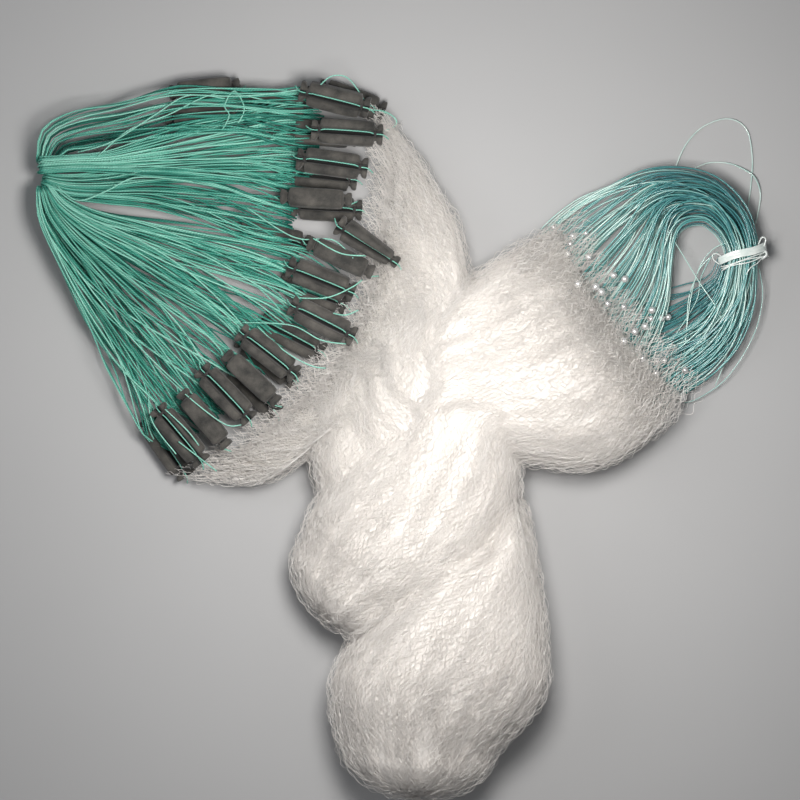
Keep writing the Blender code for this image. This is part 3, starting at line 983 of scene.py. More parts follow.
@dataclass
class LooseBights:
    """The two loose bights of lead line beside its hank, each a cord from the hank and back."""

    diameter: float = 0.0012
    points: int = 34
    tall: tuple = (
        (0.2225, 0.2165, 0.002), (0.231, 0.235, 0.0008), (0.245, 0.2495, 0.0008),
        (0.265, 0.256, 0.0008), (0.28, 0.248, 0.0008), (0.285, 0.226, 0.0008),
        (0.284, 0.202, 0.0008), (0.28, 0.176, 0.0012),
    )
    low: tuple = (
        (0.238, 0.2155, 0.002), (0.25, 0.22, 0.0008), (0.266, 0.2195, 0.0008),
        (0.279, 0.214, 0.0022), (0.287, 0.2075, 0.0032), (0.2915, 0.196, 0.0014),
        (0.2905, 0.183, 0.0009), (0.2875, 0.17, 0.001),
    )

    def bight(self, name: str, route: tuple, node: str) -> None:
        """Lay one bight as a round curve.

        Args:
            name: The new piece's name.
            route: The points that it passes.
            node: The CAD node that it replaces.
        """
        line = smooth_route(route, self.points, 12)
        data = bpy.data.curves.new(name, "CURVE")
        data.dimensions = "3D"
        data.bevel_depth = self.diameter / 2
        data.bevel_resolution = 2
        data.use_fill_caps = True
        spline = data.splines.new("POLY")
        spline.points.add(len(line) - 1)
        spline.points.foreach_set("co", np.column_stack([line, np.ones(len(line))]).ravel())
        data.materials.append(BIGHT_LINE.material())
        obj = finish_piece(new_object(name, data), Slot.LEAD_LINE, node)

    def build(self) -> None:
        """Lay both bights."""
        self.bight("tall_bight_line", self.tall, "tall_bight")
        self.bight("low_bight_line", self.low, "low_bight")


# ---------------------------------------------------------------- the netting
@dataclass
class Netting:
    """The gathered netting: its soft mass, and the layers of filaments that lie over it."""

    voxel: float = 0.0032
    sink: float = 0.0022            # how far the mass lies below the outermost filaments
    sink_from: float = 0.012        # the height above which it lies that far below
    pleat: float = 0.0002           # how far its folds stand out
    lowest: float = 0.0003
    patches: int = 1800             # strips of open meshes
    patch_width: int = 4            # filaments in a strip
    layers: int = 5                 # pieces that they are shared out to
    strays: int = 1400
    float_strips: int = 325         # strips that reach past the edges to the floats and leads
    lead_strips: int = 120
    facing_down: float = -0.35      # no filament starts on a face that looks further down
    facing_aside: float = 0.45      # the halo starts on faces that look up or down less
    keep_way: float = 0.6           # how much a filament keeps to its way from step to step
    points: int = 20                # points of a filament, and the step between two of them
    step: float = 0.0022
    mesh_pitch: float = 0.0078
    mesh_spread: float = 0.0012
    lean: float = 0.14              # how far the meshes cross each other, as a slope
    radius: float = 0.00014         # of a filament
    middle: tuple = (-0.004, 0.046) # where the arms and lobes meet; it is smoothed this far round
    middle_reach: float = 0.095
    middle_rim: float = 0.03
    halo_count: int = 1400
    core: bpy.types.Object = None
    flow: np.ndarray = None         # which way the netting runs at each vertex of the mass
    rng: np.random.Generator = field(default_factory=lambda: np.random.default_rng(11))

    def bundles(self) -> list[Bundle]:
        """Return the five bundles that the netting is gathered into."""
        return [
            Bundle(LEFT_ARM),
            Bundle(RIGHT_ARM),
            Bundle(BACK_FOLD, dome_out=0.02),
            Bundle(UPPER_LOBE, dome_out=0.034),
            Bundle(LOWER_LOBE, dome_in=0.015, dome_out=0.04),
        ]

    def mass(self) -> None:
        """Make the soft mass from the netting's own solid, and find which way it runs."""
        self.core = new_object("netting_mass", frame["nodes"]["netting"].data.copy())
        with editing(self.core):
            bpy.ops.mesh.remove_doubles(threshold=1e-5)
        self.core.data.materials.clear()
        apply_modifier(self.core, "REMESH", mode="VOXEL", voxel_size=self.voxel)
        apply_modifier(self.core, "SMOOTH", factor=0.5, iterations=8)
        self.ease_middle()
        mesh = self.core.data
        mesh.materials.append(NETTING_MASS.material())
        points, normals = vectors(mesh.vertices, "co"), vectors(mesh.vertices, "normal")
        chart, self.flow = self.read_flow(points)
        across, along = chart.T
        folds = (np.sin(across / 0.0042 + 2.6 * np.sin(along / 0.031 + across / 0.05))
                 + 0.5 * np.sin(across / 0.0095 + 1.7 * np.sin(along / 0.052) + 1.3))
        level = np.clip(points[:, 2] / self.sink_from, 0.0, 1.0)
        move = (-self.sink + self.pleat * 0.5 * folds) * level
        points = points + normals * move[:, None]
        points[:, 2] = np.maximum(points[:, 2], self.lowest)
        mesh.vertices.foreach_set("co", points.astype(np.float32).ravel())
        mesh.shade_smooth()
        self.store(mesh, chart, self.solid_part(points))
        mesh.update()
        finish_piece(self.core, Slot.NETTING, "netting")

    def ease_middle(self) -> None:
        """Smooth the mass more where its arms and lobes meet, less and less over a rim round it."""
        group = self.core.vertex_groups.new(name="middle")
        for vertex in self.core.data.vertices:
            gap = (vertex.co.xy - Vector(self.middle)).length
            weight = min(1.0, max(0.0, (self.middle_reach - gap) / self.middle_rim))
            if weight:
                group.add([vertex.index], weight, "REPLACE")
        apply_modifier(self.core, "SMOOTH", factor=0.5, iterations=180, vertex_group="middle")

    def read_flow(self, points: np.ndarray) -> tuple[np.ndarray, np.ndarray]:
        """Find the nearest place on the bundles' skins for each point.

        Args:
            points: The points of the mass.

        Returns:
            The map of each point, across and along in metres, and the way the netting runs there.
        """
        places, maps, ways = [], [], []
        for number, bundle in enumerate(self.bundles()):
            part, angle = np.meshgrid(np.linspace(0.0, 1.0, 90),
                                      np.linspace(-math.pi / 2, 1.5 * math.pi, 72))
            part, angle = part.ravel(), angle.ravel()
            here = bundle.skin(part, angle)
            way = bundle.skin(np.minimum(part + 0.01, 1.0), angle) - bundle.skin(
                np.maximum(part - 0.01, 0.0), angle)
            girth = np.interp(part * bundle.length, bundle.along,
                              (bundle.table[:, 4] + bundle.table[:, 5]) / 2)
            places.append(here)
            maps.append(np.column_stack([angle * girth.mean() + number,
                                         part * bundle.length + number * 0.37]))
            ways.append(unit(way))
        places, maps, ways = map(np.vstack, (places, maps, ways))
        tree = KDTree(len(places))
        for k, place in enumerate(places):
            tree.insert(place, k)
        tree.balance()
        chart = np.zeros((len(points), 2))
        flow = np.zeros((len(points), 3))
        for k, point in enumerate(points):
            found = [n for _, n, _ in tree.find_n(point, 6)]
            chart[k] = maps[found[0]]
            flow[k] = ways[found].mean(axis=0)
        return chart, unit(flow)

    @staticmethod
    def solid_part(points: np.ndarray) -> np.ndarray:
        """Return how dense the netting is at each point: it thins out at the floats and leads."""
        solid = np.ones(len(points))
        for arm, reach, power in ((LEFT_ARM, 0.085, 0.6), (RIGHT_ARM, 0.024, 0.5)):
            edge = Bundle(arm).inside(np.zeros(60), np.linspace(-1.0, 1.0, 60), np.zeros(60))
            gap = np.min(np.linalg.norm(points[:, None, :2] - edge[None, :, :2], axis=2), axis=1)
            full = np.clip(gap / reach, 0.0, 1.0) ** power
            solid = np.minimum(solid, SPARSE + (1 - SPARSE) * full)
        corner = np.linalg.norm(points[:, :2] - placed((0.212, 0.026, 0.0))[:2], axis=1)
        solid = np.minimum(solid, 0.36 + 0.64 * np.clip(corner / 0.05, 0.0, 1.0))
        return solid

    @staticmethod
    def store(mesh: bpy.types.Mesh, chart: np.ndarray, solid: np.ndarray) -> None:
        """Keep the map and the density on the mesh."""
        corners = np.zeros(len(mesh.loops), np.int32)
        mesh.loops.foreach_get("vertex_index", corners)
        layer = mesh.uv_layers.new(name="flow")
        layer.data.foreach_set("uv", chart[corners].astype(np.float32).ravel())
        keep_values(mesh, "solid", solid)

    def trails(self, count: int, length: int, sides: bool = False) -> tuple[np.ndarray, ...]:
        """Follow the netting's run over the mass from scattered places.

        Args:
            count: How many trails.
            length: How many points each has.
            sides: Start only where the mass faces sideways.

        Returns:
            The points, the outward directions and the directions along, each by trail.
        """
        mesh = self.core.data
        centres, normals = vectors(mesh.polygons, "center"), vectors(mesh.polygons, "normal")
        faces = [list(polygon.vertices) for polygon in mesh.polygons]
        flows = np.array([self.flow[face].mean(axis=0) for face in faces])
        tree = BVHTree.FromPolygons([v.co for v in mesh.vertices], faces)
        weight = np.where(normals[:, 2] > self.facing_down, 1.0, 0.0) * (centres[:, 2] > 0.002)
        if sides:
            weight = weight * (np.abs(normals[:, 2]) < self.facing_aside)
        starts = self.rng.choice(len(centres), size=count, replace=True, p=weight / weight.sum())
        points, outward, ahead = np.zeros((3, count, length, 3))
        keep = self.keep_way
        for row, start in enumerate(starts):
            place, way = Vector(centres[start]), None
            sign = 1.0 if self.rng.random() < 0.5 else -1.0
            for k in range(length):
                found, normal, face, _ = tree.find_nearest(place)
                run = Vector(flows[face]) * sign
                run = run - normal * run.dot(normal)
                if run.length < 1e-6:
                    run = way or Vector((0.0, -1.0, 0.0))
                run.normalize()
                way = run if way is None else (way * keep + run * (1 - keep)).normalized()
                points[row, k], outward[row, k], ahead[row, k] = found, normal, way
                place = found + way * self.step
        for _ in range(2):
            for rows in (points, outward):
                rows[:, 1:-1] = (rows[:, :-2] + 2 * rows[:, 1:-1] + rows[:, 2:]) / 4
        return points, unit(outward), unit(ahead)

    def meshes(self) -> np.ndarray:
        """Return filaments in strips of open meshes, whose neighbours meet at each knot."""
        points, outward, ahead = self.trails(self.patches, self.points)
        side = unit(np.cross(outward, ahead))
        at = np.arange(self.points) * self.step
        phase = self.rng.uniform(0, math.tau, (self.patches, 1))
        pitch = self.mesh_pitch * self.rng.uniform(0.8, 1.25, (self.patches, 1))
        spread = self.mesh_spread * self.rng.uniform(0.6, 1.5, (self.patches, 1))
        lift = self.rng.uniform(0.0004, 0.0032, (self.patches, 1))
        wave = self.rng.uniform(0, math.tau, (self.patches, 1))
        lean = self.rng.normal(0.0, self.lean, (self.patches, 1))
        lines = []
        for k in range(self.patch_width):
            sway = np.sin(math.tau * at / pitch + phase + math.pi * (k % 2)) * spread
            drift = (k - self.patch_width / 2) * 2.0 * spread
            drift = drift * (1 + 0.35 * np.sin(at / 0.02 + wave)) + lean * (at - at.mean())
            rise = lift + 0.0008 * np.sin(at / 0.012 + wave + k)
            jitter = self.rng.normal(0.0, 0.00018, points.shape)
            lines.append(points + side * (sway + drift)[..., None]
                         + outward * rise[..., None] + jitter)
        return np.concatenate(lines)

    def loose(self, count: int, height: float, sides: bool) -> np.ndarray:
        """Return stray filaments that stand a little off the mass and curl.

        Args:
            count: How many.
            height: How far off they stand, roughly.
            sides: Keep to where the mass faces sideways.

        Returns:
            The filaments' points.
        """
        length = self.points + 4
        points, outward, ahead = self.trails(count, length, sides)
        side = unit(np.cross(outward, ahead))
        at = np.arange(length) * self.step
        size = self.rng.uniform(0.0008, 0.0034, (count, 1))
        pitch = self.rng.uniform(0.01, 0.024, (count, 1))
        phase = self.rng.uniform(0, math.tau, (count, 2))
        arch = np.sin(math.pi * np.linspace(0.0, 1.0, length)) ** 0.6
        high = self.rng.gamma(2.0, height, (count, 1)).clip(0.0003, 0.0075)
        sway = np.sin(math.tau * at / pitch + phase[:, :1]) * size
        rise = high * arch + 0.0008 + 0.5 * size * np.cos(math.tau * at / pitch + phase[:, 1:])
        return points + side * sway[..., None] + outward * rise[..., None]

    def filaments(self) -> None:
        """Make the layers of filaments."""
        paths = self.meshes()
        self.rng.shuffle(paths)
        for number, share in enumerate(np.array_split(paths, self.layers), start=1):
            self.layer(f"netting_filaments_{number}", share)
        self.layer("netting_strays", self.loose(self.strays, 0.0011, False))
        self.layer("netting_halo", self.loose(self.halo_count, 0.003, True))
        at_floats = self.fringe(self.float_edge(), self.float_strips, 0.05, 0.95)
        self.layer("netting_at_floats", at_floats, 1.5)
        at_leads = self.fringe(self.lead_edge(), self.lead_strips, 0.044, 1.0)
        self.layer("netting_at_leads", at_leads, 1.2)

    @staticmethod
    def float_edge() -> Bundle:
        """Return the left arm carried on under the floats."""
        return Bundle((Row(-0.113, 0.122, 0.008, -27, 0.172, 0.007, 0.06), *LEFT_ARM[:3]))

    @staticmethod
    def lead_edge() -> Bundle:
        """Return the right arm carried on over the ends of the lead line."""
        return Bundle((Row(0.198, 0.114, 0.02, -144, 0.086, 0.009, 0.01),
                       Row(0.178, 0.098, 0.018, -144, 0.089, 0.012, 0.008), *RIGHT_ARM[1:3]))

    def fringe(self, bundle: Bundle, strips: int, reach: float, top: float) -> np.ndarray:
        """Return sparse open meshes past the mass's edge, where the netting is hung.

        Args:
            bundle: The arm, carried on past the edge.
            strips: How many strips of filaments.
            reach: How far from the bundle's start a filament may begin.
            top: The highest place upwards, where 1 is the skin.

        Returns:
            The filaments' points.
        """
        width, length = self.patch_width, 26
        count = strips * width
        strip, number = np.divmod(np.arange(count), width)
        place = (self.rng.permutation(strips)[strip] + 0.5) / strips * 2 - 1
        begin = reach * (self.rng.uniform(0.0, 1.0, strips) ** 1.7)[strip]
        run = self.rng.uniform(0.035, 0.062, strips)[strip]
        pitch = self.rng.uniform(0.008, 0.016, strips)[strip]
        spread = self.rng.uniform(0.0007, 0.0024, strips)[strip]
        phase = self.rng.uniform(0, math.tau, strips)[strip] + math.pi * (number % 2)
        level = self.rng.uniform(0.25, top, strips)[strip] + self.rng.normal(0, 0.05, count)
        at = np.linspace(0.0, 1.0, length)
        run_at = begin[:, None] + run[:, None] * at
        half = np.interp(run_at, bundle.along, bundle.table[:, 4])
        shift = (number - (width - 1) / 2)[:, None] * 2 * spread[:, None] * (
            1 + 0.4 * np.sin(at * 5 + phase[:, None]))
        sway = np.sin(math.tau * run_at / pitch[:, None] + phase[:, None]) * spread[:, None]
        across = place[:, None] + (shift + sway) / half
        up = level[:, None] + 0.25 * np.sin(at * 7 + phase[:, None] * 3)
        return bundle.inside(run_at / bundle.length, across, up)

    def layer(self, name: str, paths: np.ndarray, girth: float = 1.0) -> None:
        """Make one layer of filaments.

        Args:
            name: The new piece's name.
            paths: The filaments' points.
            girth: How thick they are against the others.
        """
        paths[..., 2] = np.maximum(paths[..., 2], 0.0004)
        strands = Strands(3)
        radius = self.radius * girth * self.rng.uniform(0.7, 1.35, len(paths))
        strands.add(paths, radius, self.rng.uniform(0.0, 1.0, len(paths)))
        finish_piece(strands.build(name, FILAMENT.material()), Slot.NETTING)

    def build(self) -> None:
        """Make the whole netting."""
        self.mass()
        self.filaments()


# ---------------------------------------------------------------- the float line and its floats
@dataclass
class FloatLine:
    """The hank of float line: runs that turn back at the gathered end and fan to the floats."""

    radius: float = 0.00068
    turn_points: int = 5
    run_points: int = 30
    turn_reach: float = 0.006       # how far a hairpin's turn reaches back at most
    painted_depth_shade: float = 0.38        # painted shade: how much darker the lower runs are
    painted_end_shade: float = 0.45          # painted shade: how much darker a run is where it ends at the floats
    near_stray: float = 0.25        # how far a run strays across, at the near end and at the far
    far_stray: float = 0.16
    fans: tuple = (                 # sections, hairpins, wander and tone of each fan
        (TOP_SWEEP, 15, 0.4, 0.36), (BELT, 38, 0.24, 0.46), (MIDDLE_FAN, 34, 0.36, 0.38),
        (LOWER_FAN, 88, 0.14, 0.44),
    )
    rng: np.random.Generator = field(default_factory=lambda: np.random.default_rng(23))

    def runs(self, rows: tuple[Row, ...], count: int, curl: float,
             spill: float = 0.02) -> tuple[np.ndarray, np.ndarray]:
        """Return hairpins of line through one fan.

        Args:
            rows: The fan's sections.
            count: How many hairpins.
            curl: How much a run wanders across the fan.
            spill: How much a run may start and end short of the fan's ends.

        Returns:
            The hairpins' points, and how high each lies in the fan, from -1 to 1.
        """
        bundle = Bundle(rows)
        part = np.linspace(0.0, 1.0, self.run_points)
        pins, levels = [], []
        for k in range(count):
            legs, ups = [], []
            slot = (k + 0.5) / count * 2 - 1
            for leg in (1.0, -1.0):
                near = np.clip(slot + self.rng.normal(0, self.near_stray), -0.95, 0.95)
                far = np.clip(slot + self.rng.normal(0, self.far_stray), -1.0, 1.0)
                blend = part**0.8
                across = near * (1 - blend) + far * blend
                wander = curl * np.sin(part * self.rng.uniform(3, 8) + self.rng.uniform(0, 6))
                across = across + wander * part * (1.05 - part * 0.5)
                up = leg * self.rng.uniform(0.15, 0.92) * (1 - 0.35 * part)
                rise = np.sin(part * self.rng.uniform(3, 9) + self.rng.uniform(0, 6))
                up = np.clip(up + 0.25 * rise * part, -1, 1)
                shift = self.rng.uniform(0.0, spill)
                at = part * (1 - self.rng.uniform(0.0, spill) - shift) + shift * 0.6
                legs.append(bundle.inside(at, np.clip(across, -1.02, 1.02), up))
                ups.append(up)
            pins.append(self.hairpin(*legs))
            levels.append(np.concatenate([ups[0][::-1], np.zeros(self.turn_points), ups[1]]))
        return np.array(pins), np.array(levels)

    def hairpin(self, upper: np.ndarray, lower: np.ndarray) -> np.ndarray:
        """Join two runs by a turn at their near ends."""
        middle = (upper[0] + lower[0]) / 2
        half = (upper[0] - lower[0]) / 2
        back = unit(((upper[0] - upper[2]) + (lower[0] - lower[2]))[None])[0]
        back[2] = 0.0
        reach = min(np.linalg.norm(half), self.turn_reach)
        angles = np.linspace(0.0, math.pi, self.turn_points + 2)[1:-1]
        turn = [middle + half * math.cos(a) + back * reach * math.sin(a) for a in angles]
        return np.vstack([upper[::-1], turn, lower])

    def build(self) -> None:
        """Make the hank, and stand for its CAD solid."""
        strands = Strands(5)
        for rows, count, curl, tone in self.fans:
            pins, levels = self.runs(rows, count, curl)
            pins[..., 2] = np.maximum(pins[..., 2], 0.001)
            # painted shade at both far ends of each hairpin, where the runs end at the floats
            end = np.interp(np.arange(self.run_points), [0, 2], [self.painted_end_shade, 0.0])
            dim = np.concatenate([end, np.zeros(self.turn_points), end[::-1]])
            # painted shade: the lower runs in each fan and the run ends at the floats are made
            # darker
            tones = self.rng.normal(tone, 0.2, (count, 1)) + self.painted_depth_shade * levels - dim
            tones = np.clip(tones, 0.0, 1.0)
            strands.add(pins, self.radius * self.rng.uniform(0.85, 1.12, count), tones)
        self.strays(strands)
        finish_piece(strands.build("float_line_runs", FLOAT_LINE.material()), Slot.FLOAT_LINE,
                     "float_line_hank")

    def strays(self, strands: Strands) -> None:
        """Add the loose runs that cross the fans and the floats, and the two loops at the top."""
        routes = (
            ((-0.262, 0.226, 0.03), (-0.234, 0.234, 0.034), (-0.2, 0.256, 0.03),
             (-0.174, 0.272, 0.026), (-0.144, 0.27, 0.024)),
            ((-0.246, 0.222, 0.032), (-0.22, 0.244, 0.032), (-0.19, 0.256, 0.028),
             (-0.15, 0.274, 0.0245), (-0.108, 0.268, 0.022)),
            ((-0.146, 0.244, 0.026), (-0.14, 0.256, 0.027), (-0.144, 0.264, 0.026),
             (-0.136, 0.276, 0.025), (-0.128, 0.262, 0.025), (-0.133, 0.25, 0.025)),
            ((-0.28, 0.2, 0.026), (-0.262, 0.187, 0.03), (-0.238, 0.195, 0.031),
             (-0.214, 0.206, 0.028), (-0.17, 0.203, 0.022)),
            ((-0.126, 0.182, 0.02), (-0.1, 0.164, 0.026), (-0.082, 0.156, 0.03),
             (-0.056, 0.155, 0.034), (-0.04, 0.14, 0.04)),
            ((-0.072, 0.156, 0.04), (-0.05, 0.144, 0.041), (-0.03, 0.142, 0.04)),
            ((-0.09, 0.109, 0.03), (-0.062, 0.1085, 0.036), (-0.042, 0.1165, 0.036),
             (-0.033, 0.123, 0.032)),
            ((-0.056, 0.096, 0.04), (-0.046, 0.0945, 0.04), (-0.036, 0.0985, 0.036)),
            ((-0.13, 0.089, 0.022), (-0.09, 0.0865, 0.036), (-0.066, 0.0745, 0.041),
             (-0.046, 0.0715, 0.034)),
            ((-0.118, 0.086, 0.022), (-0.094, 0.065, 0.036), (-0.074, 0.054, 0.038),
             (-0.062, 0.052, 0.034)),
            ((-0.202, 0.055, 0.018), (-0.17, 0.027, 0.038), (-0.143, 0.007, 0.04),
             (-0.13, 0.0065, 0.036)),
            ((-0.206, 0.038, 0.016), (-0.202, 0.01, 0.034), (-0.182, -0.017, 0.039)),
            ((-0.18, -0.007, 0.039), (-0.15, -0.031, 0.03)),
            ((-0.191, 0.019, 0.037), (-0.173, 0.002, 0.04), (-0.164, -0.01, 0.036)),
            ((-0.068, 0.278, 0.034), (-0.058, 0.286, 0.038), (-0.046, 0.286, 0.036),
             (-0.036, 0.276, 0.026), (-0.025, 0.258, 0.014)),
            ((-0.026, 0.261, 0.022), (-0.015, 0.26, 0.018), (-0.006, 0.2545, 0.014),
             (-0.0065, 0.249, 0.012), (-0.015, 0.245, 0.012)),
        )
        for route in routes:
            strands.add(smooth_route(route, 26), self.radius * 0.8, 0.95)


# x, y, z, heading, roll, taper of each float, in the order of their names
LOW, ON_SIDE, HIGH = 0.0087, 0.0108, 0.0285
FLOAT_PLACES = (
    (-0.042, 0.27, LOW, -20, 0, 0.0), (-0.055, 0.269, HIGH, -14, 20, 0.0),
    (-0.045, 0.242, HIGH, -4, 0, 0.0), (-0.066, 0.243, LOW, -5, 0, 0.0),
    (-0.057, 0.217, HIGH, -8, 0, 0.0), (-0.066, 0.208, LOW, -6, 0, 0.0),
    (-0.07, 0.189, HIGH, -3, 90, 0.0), (-0.062, 0.182, LOW, -3, 0, 0.0),
    (-0.028, 0.152, 0.036, -33, 30, 0.45), (-0.104, 0.158, LOW, -12, 0, 0.0),
    (-0.05, 0.141, 0.03, -25, 90, 0.0), (-0.066, 0.124, 0.024, -22, 15, 0.0),
    (-0.073, 0.113, LOW, -20, 0, 0.0), (-0.065, 0.09, 0.0295, -27, 0, 0.0),
    (-0.09, 0.078, LOW, -28, 0, 0.0), (-0.109, 0.064, HIGH, -38, 0, 0.0),
    (-0.11, 0.059, LOW, -38, 0, 0.0), (-0.122, 0.044, HIGH, -43, 90, 0.0),
    (-0.143, 0.031, HIGH, -46, 0, 0.0), (-0.122, 0.036, LOW, -46, 0, 0.0),
    (-0.16, 0.011, HIGH, -50, 90, 0.0), (-0.18, -0.002, HIGH, -50, 0, 0.0),
    (-0.192, -0.012, LOW, -55, 0, 0.0), (-0.161, 0.279, ON_SIDE, 6, 90, 0.0),
    (-0.102, 0.267, LOW, -3, 0, 0.0), (-0.164, 0.256, ON_SIDE, 0, 90, 0.0),
)


@dataclass
class Floats:
    """The foam floats: each a slit foam body tied at both ends, with the float line in its slit."""

    length: float = 0.058
    width: float = 0.021
    thickness: float = 0.0165
    slit_reach: float = 0.0022
    line_radius: float = 0.0005
    pinch: float = 0.777                            # where the ties go, as a part of half the length
    tie_size: tuple = (0.0052, 0.0051, 0.0041)      # a wrap's scale along, across and up
    tie_gap: float = 0.0007                         # between two wraps
    # along, width and thickness of each section, as parts of the halves
    sections: tuple = (
        (-1.0, 0.78, 0.66), (-0.97, 0.84, 0.74), (-0.85, 0.8, 0.7), (-0.82, 0.46, 0.46),
        (-0.765, 0.44, 0.44), (-0.745, 0.9, 0.86), (-0.705, 0.99, 0.97), (-0.3, 1.0, 1.0),
        (0.3, 1.0, 1.0), (0.705, 0.99, 0.97), (0.745, 0.9, 0.86), (0.765, 0.44, 0.44),
        (0.82, 0.46, 0.46), (0.85, 0.8, 0.7), (0.97, 0.84, 0.74), (1.0, 0.78, 0.66),
    )
    # half of the section from the slit's floor round to the underside's seam
    profile: tuple = (
        (0.06, 0.02), (0.18, 0.08), (0.23, 0.9), (0.36, 1.0), (0.66, 0.98), (0.88, 0.84),
        (0.99, 0.55), (1.0, 0.0), (0.98, -0.55), (0.85, -0.88), (0.5, -1.0), (0.12, -0.99),
        (0.03, -0.86),
    )
    rng: np.random.Generator = field(default_factory=lambda: np.random.default_rng(5))

    def pattern(self) -> bpy.types.Object:
        """Model one float at the origin, along X, with its slit upwards."""
        half, first = self.length / 2, self.sections[0]
        outline = [*self.profile, *((-y, z) for y, z in reversed(self.profile))]
        deselect()
        bpy.ops.mesh.primitive_circle_add(
            vertices=len(outline), radius=1.0, fill_type="NGON", location=(0, 0, 0))
        obj = bpy.context.active_object
        settle(obj)
        for vertex, (y, z) in zip(obj.data.vertices, outline):
            vertex.co = (first[0] * half, y * first[1] * self.width / 2,
                         z * first[2] * self.thickness / 2)
        with editing(obj):
            for near, far in zip(self.sections, self.sections[1:]):
                bpy.ops.mesh.extrude_region_move(
                    TRANSFORM_OT_translate={"value": ((far[0] - near[0]) * half, 0.0, 0.0)})
                bpy.ops.transform.resize(
                    value=(1.0, far[1] / near[1], far[2] / near[2]),
                    center_override=(far[0] * half, 0.0, 0.0))
            bpy.ops.mesh.select_all(action="SELECT")
            bpy.ops.mesh.normals_make_consistent(inside=False)
        _, y, z = vectors(obj.data.vertices, "co").T
        # the skin value is none on the slit's floor, where the foam's finish paints shade
        keep_values(obj.data, "skin", np.where((abs(y) < self.slit_reach) & (z > 0.0), 0.0, 1.0))
        apply_modifier(obj, "SUBSURF", levels=1, render_levels=1)
        obj.data.shade_smooth()
        obj.data.materials.append(FOAM.material())
        return obj

    def ties(self) -> bpy.types.Object:
        """Model the thread wraps round both pinched ends."""
        rings = []
        for end in (-1.0, 1.0):
            for turn in (-1.0, 0.0, 1.0):
                deselect()
                bpy.ops.mesh.primitive_torus_add(
                    major_segments=14, minor_segments=5, major_radius=1.0, minor_radius=0.11,
                    location=(0, 0, 0), rotation=(0.0, math.pi / 2, 0.0),
                )
                ring = settle(bpy.context.active_object)
                with editing(ring):
                    bpy.ops.transform.resize(value=self.tie_size, center_override=(0, 0, 0))
                    bpy.ops.transform.rotate(value=0.1 * turn * end, orient_axis="Z",
                                             center_override=(0, 0, 0))
                    bpy.ops.transform.translate(
                        value=(end * self.pinch * self.length / 2 + turn * self.tie_gap, 0, 0))
                ring.data.shade_smooth()
                rings.append(ring)
        return join(rings, "tie", TIE_THREAD.material())

    def matrix(self, place: tuple) -> Matrix:
        """Return where one float lies and how it is turned."""
        x, y, z, heading, roll, _ = place
        spot = Vector(placed((x, y, z)))
        return (Matrix.Translation(spot) @ Matrix.Rotation(math.radians(heading), 4, "Z")
                @ Matrix.Rotation(math.radians(roll), 4, "X"))

    def shaped(self, pattern: bpy.types.Object, place: tuple, name: str) -> bpy.types.Object:
        """Copy a pattern to its place, narrowed towards the far end where the float tapers.

        Args:
            pattern: The piece to copy.
            place: The float's row in the table.
            name: The copy's name.

        Returns:
            The copy.
        """
        copy = new_object(name, pattern.data.copy())
        half, taper = self.length / 2, place[5]
        swell = self.rng.uniform(-1.0, 1.0, 4)
        for vertex in copy.data.vertices:
            part = vertex.co.x / half
            scale = 1.0 - taper * (part + 1) / 2
            bend = 0.0006 * swell[0] * (1 - part * part)
            vertex.co.y = vertex.co.y * scale * (1 - 0.02 * abs(swell[1])) + bend
            vertex.co.z *= scale * (1 - 0.02 * abs(swell[2]))
        copy.data.transform(self.matrix(place))
        copy.data.update()
        return copy

    def groove_line(self, place: tuple) -> np.ndarray:
        """Return the float line's way through one float's slit and out at both ends."""
        half, tall = self.length / 2, self.thickness / 2
        way = np.array([
            (-1.16, 0.3, 0.05), (-1.06, 0.1, 0.25), (-0.97, 0.0, 0.42), (-0.86, 0.0, 0.42),
            (-self.pinch, 0.0, 0.4), (-0.7, 0.05, 0.5), (-0.6, 0.1, 0.62), (0.0, 0.12, 0.66),
            (0.6, 0.1, 0.62), (0.7, 0.05, 0.5), (self.pinch, 0.0, 0.4), (0.86, 0.0, 0.42),
            (0.97, 0.0, 0.42), (1.06, -0.1, 0.25), (1.16, -0.3, 0.05),
        ])
        scale = 1.0 - place[5] * (way[:, 0] + 1) / 2
        points = np.column_stack([way[:, 0] * half, way[:, 1] * self.width / 2,
                                  way[:, 2] * tall * scale])
        return even(catmull_rom(moved(points, self.matrix(place)), 5), 34)

    def build(self) -> None:
        """Make every float with its ties, and the line through them."""
        body, tie = self.pattern(), self.ties()
        lines = Strands(5)
        wraps = []
        for number, place in enumerate(FLOAT_PLACES, start=1):
            node = f"float_{number:02d}"
            piece = self.shaped(body, place, f"foam_{node}")
            finish_piece(piece, Slot.FOAM, node)
            wraps.append(self.shaped(tie, place, f"tie_{number:02d}"))
            lines.add(self.groove_line(place), self.line_radius, 0.75)
        for pattern in (body, tie):
            bpy.data.objects.remove(pattern)
        finish_piece(join(wraps, "float_ties", TIE_THREAD.material()), Slot.FOAM)
        finish_piece(lines.build("float_line_in_slits", FLOAT_LINE.material()), Slot.FLOAT_LINE)


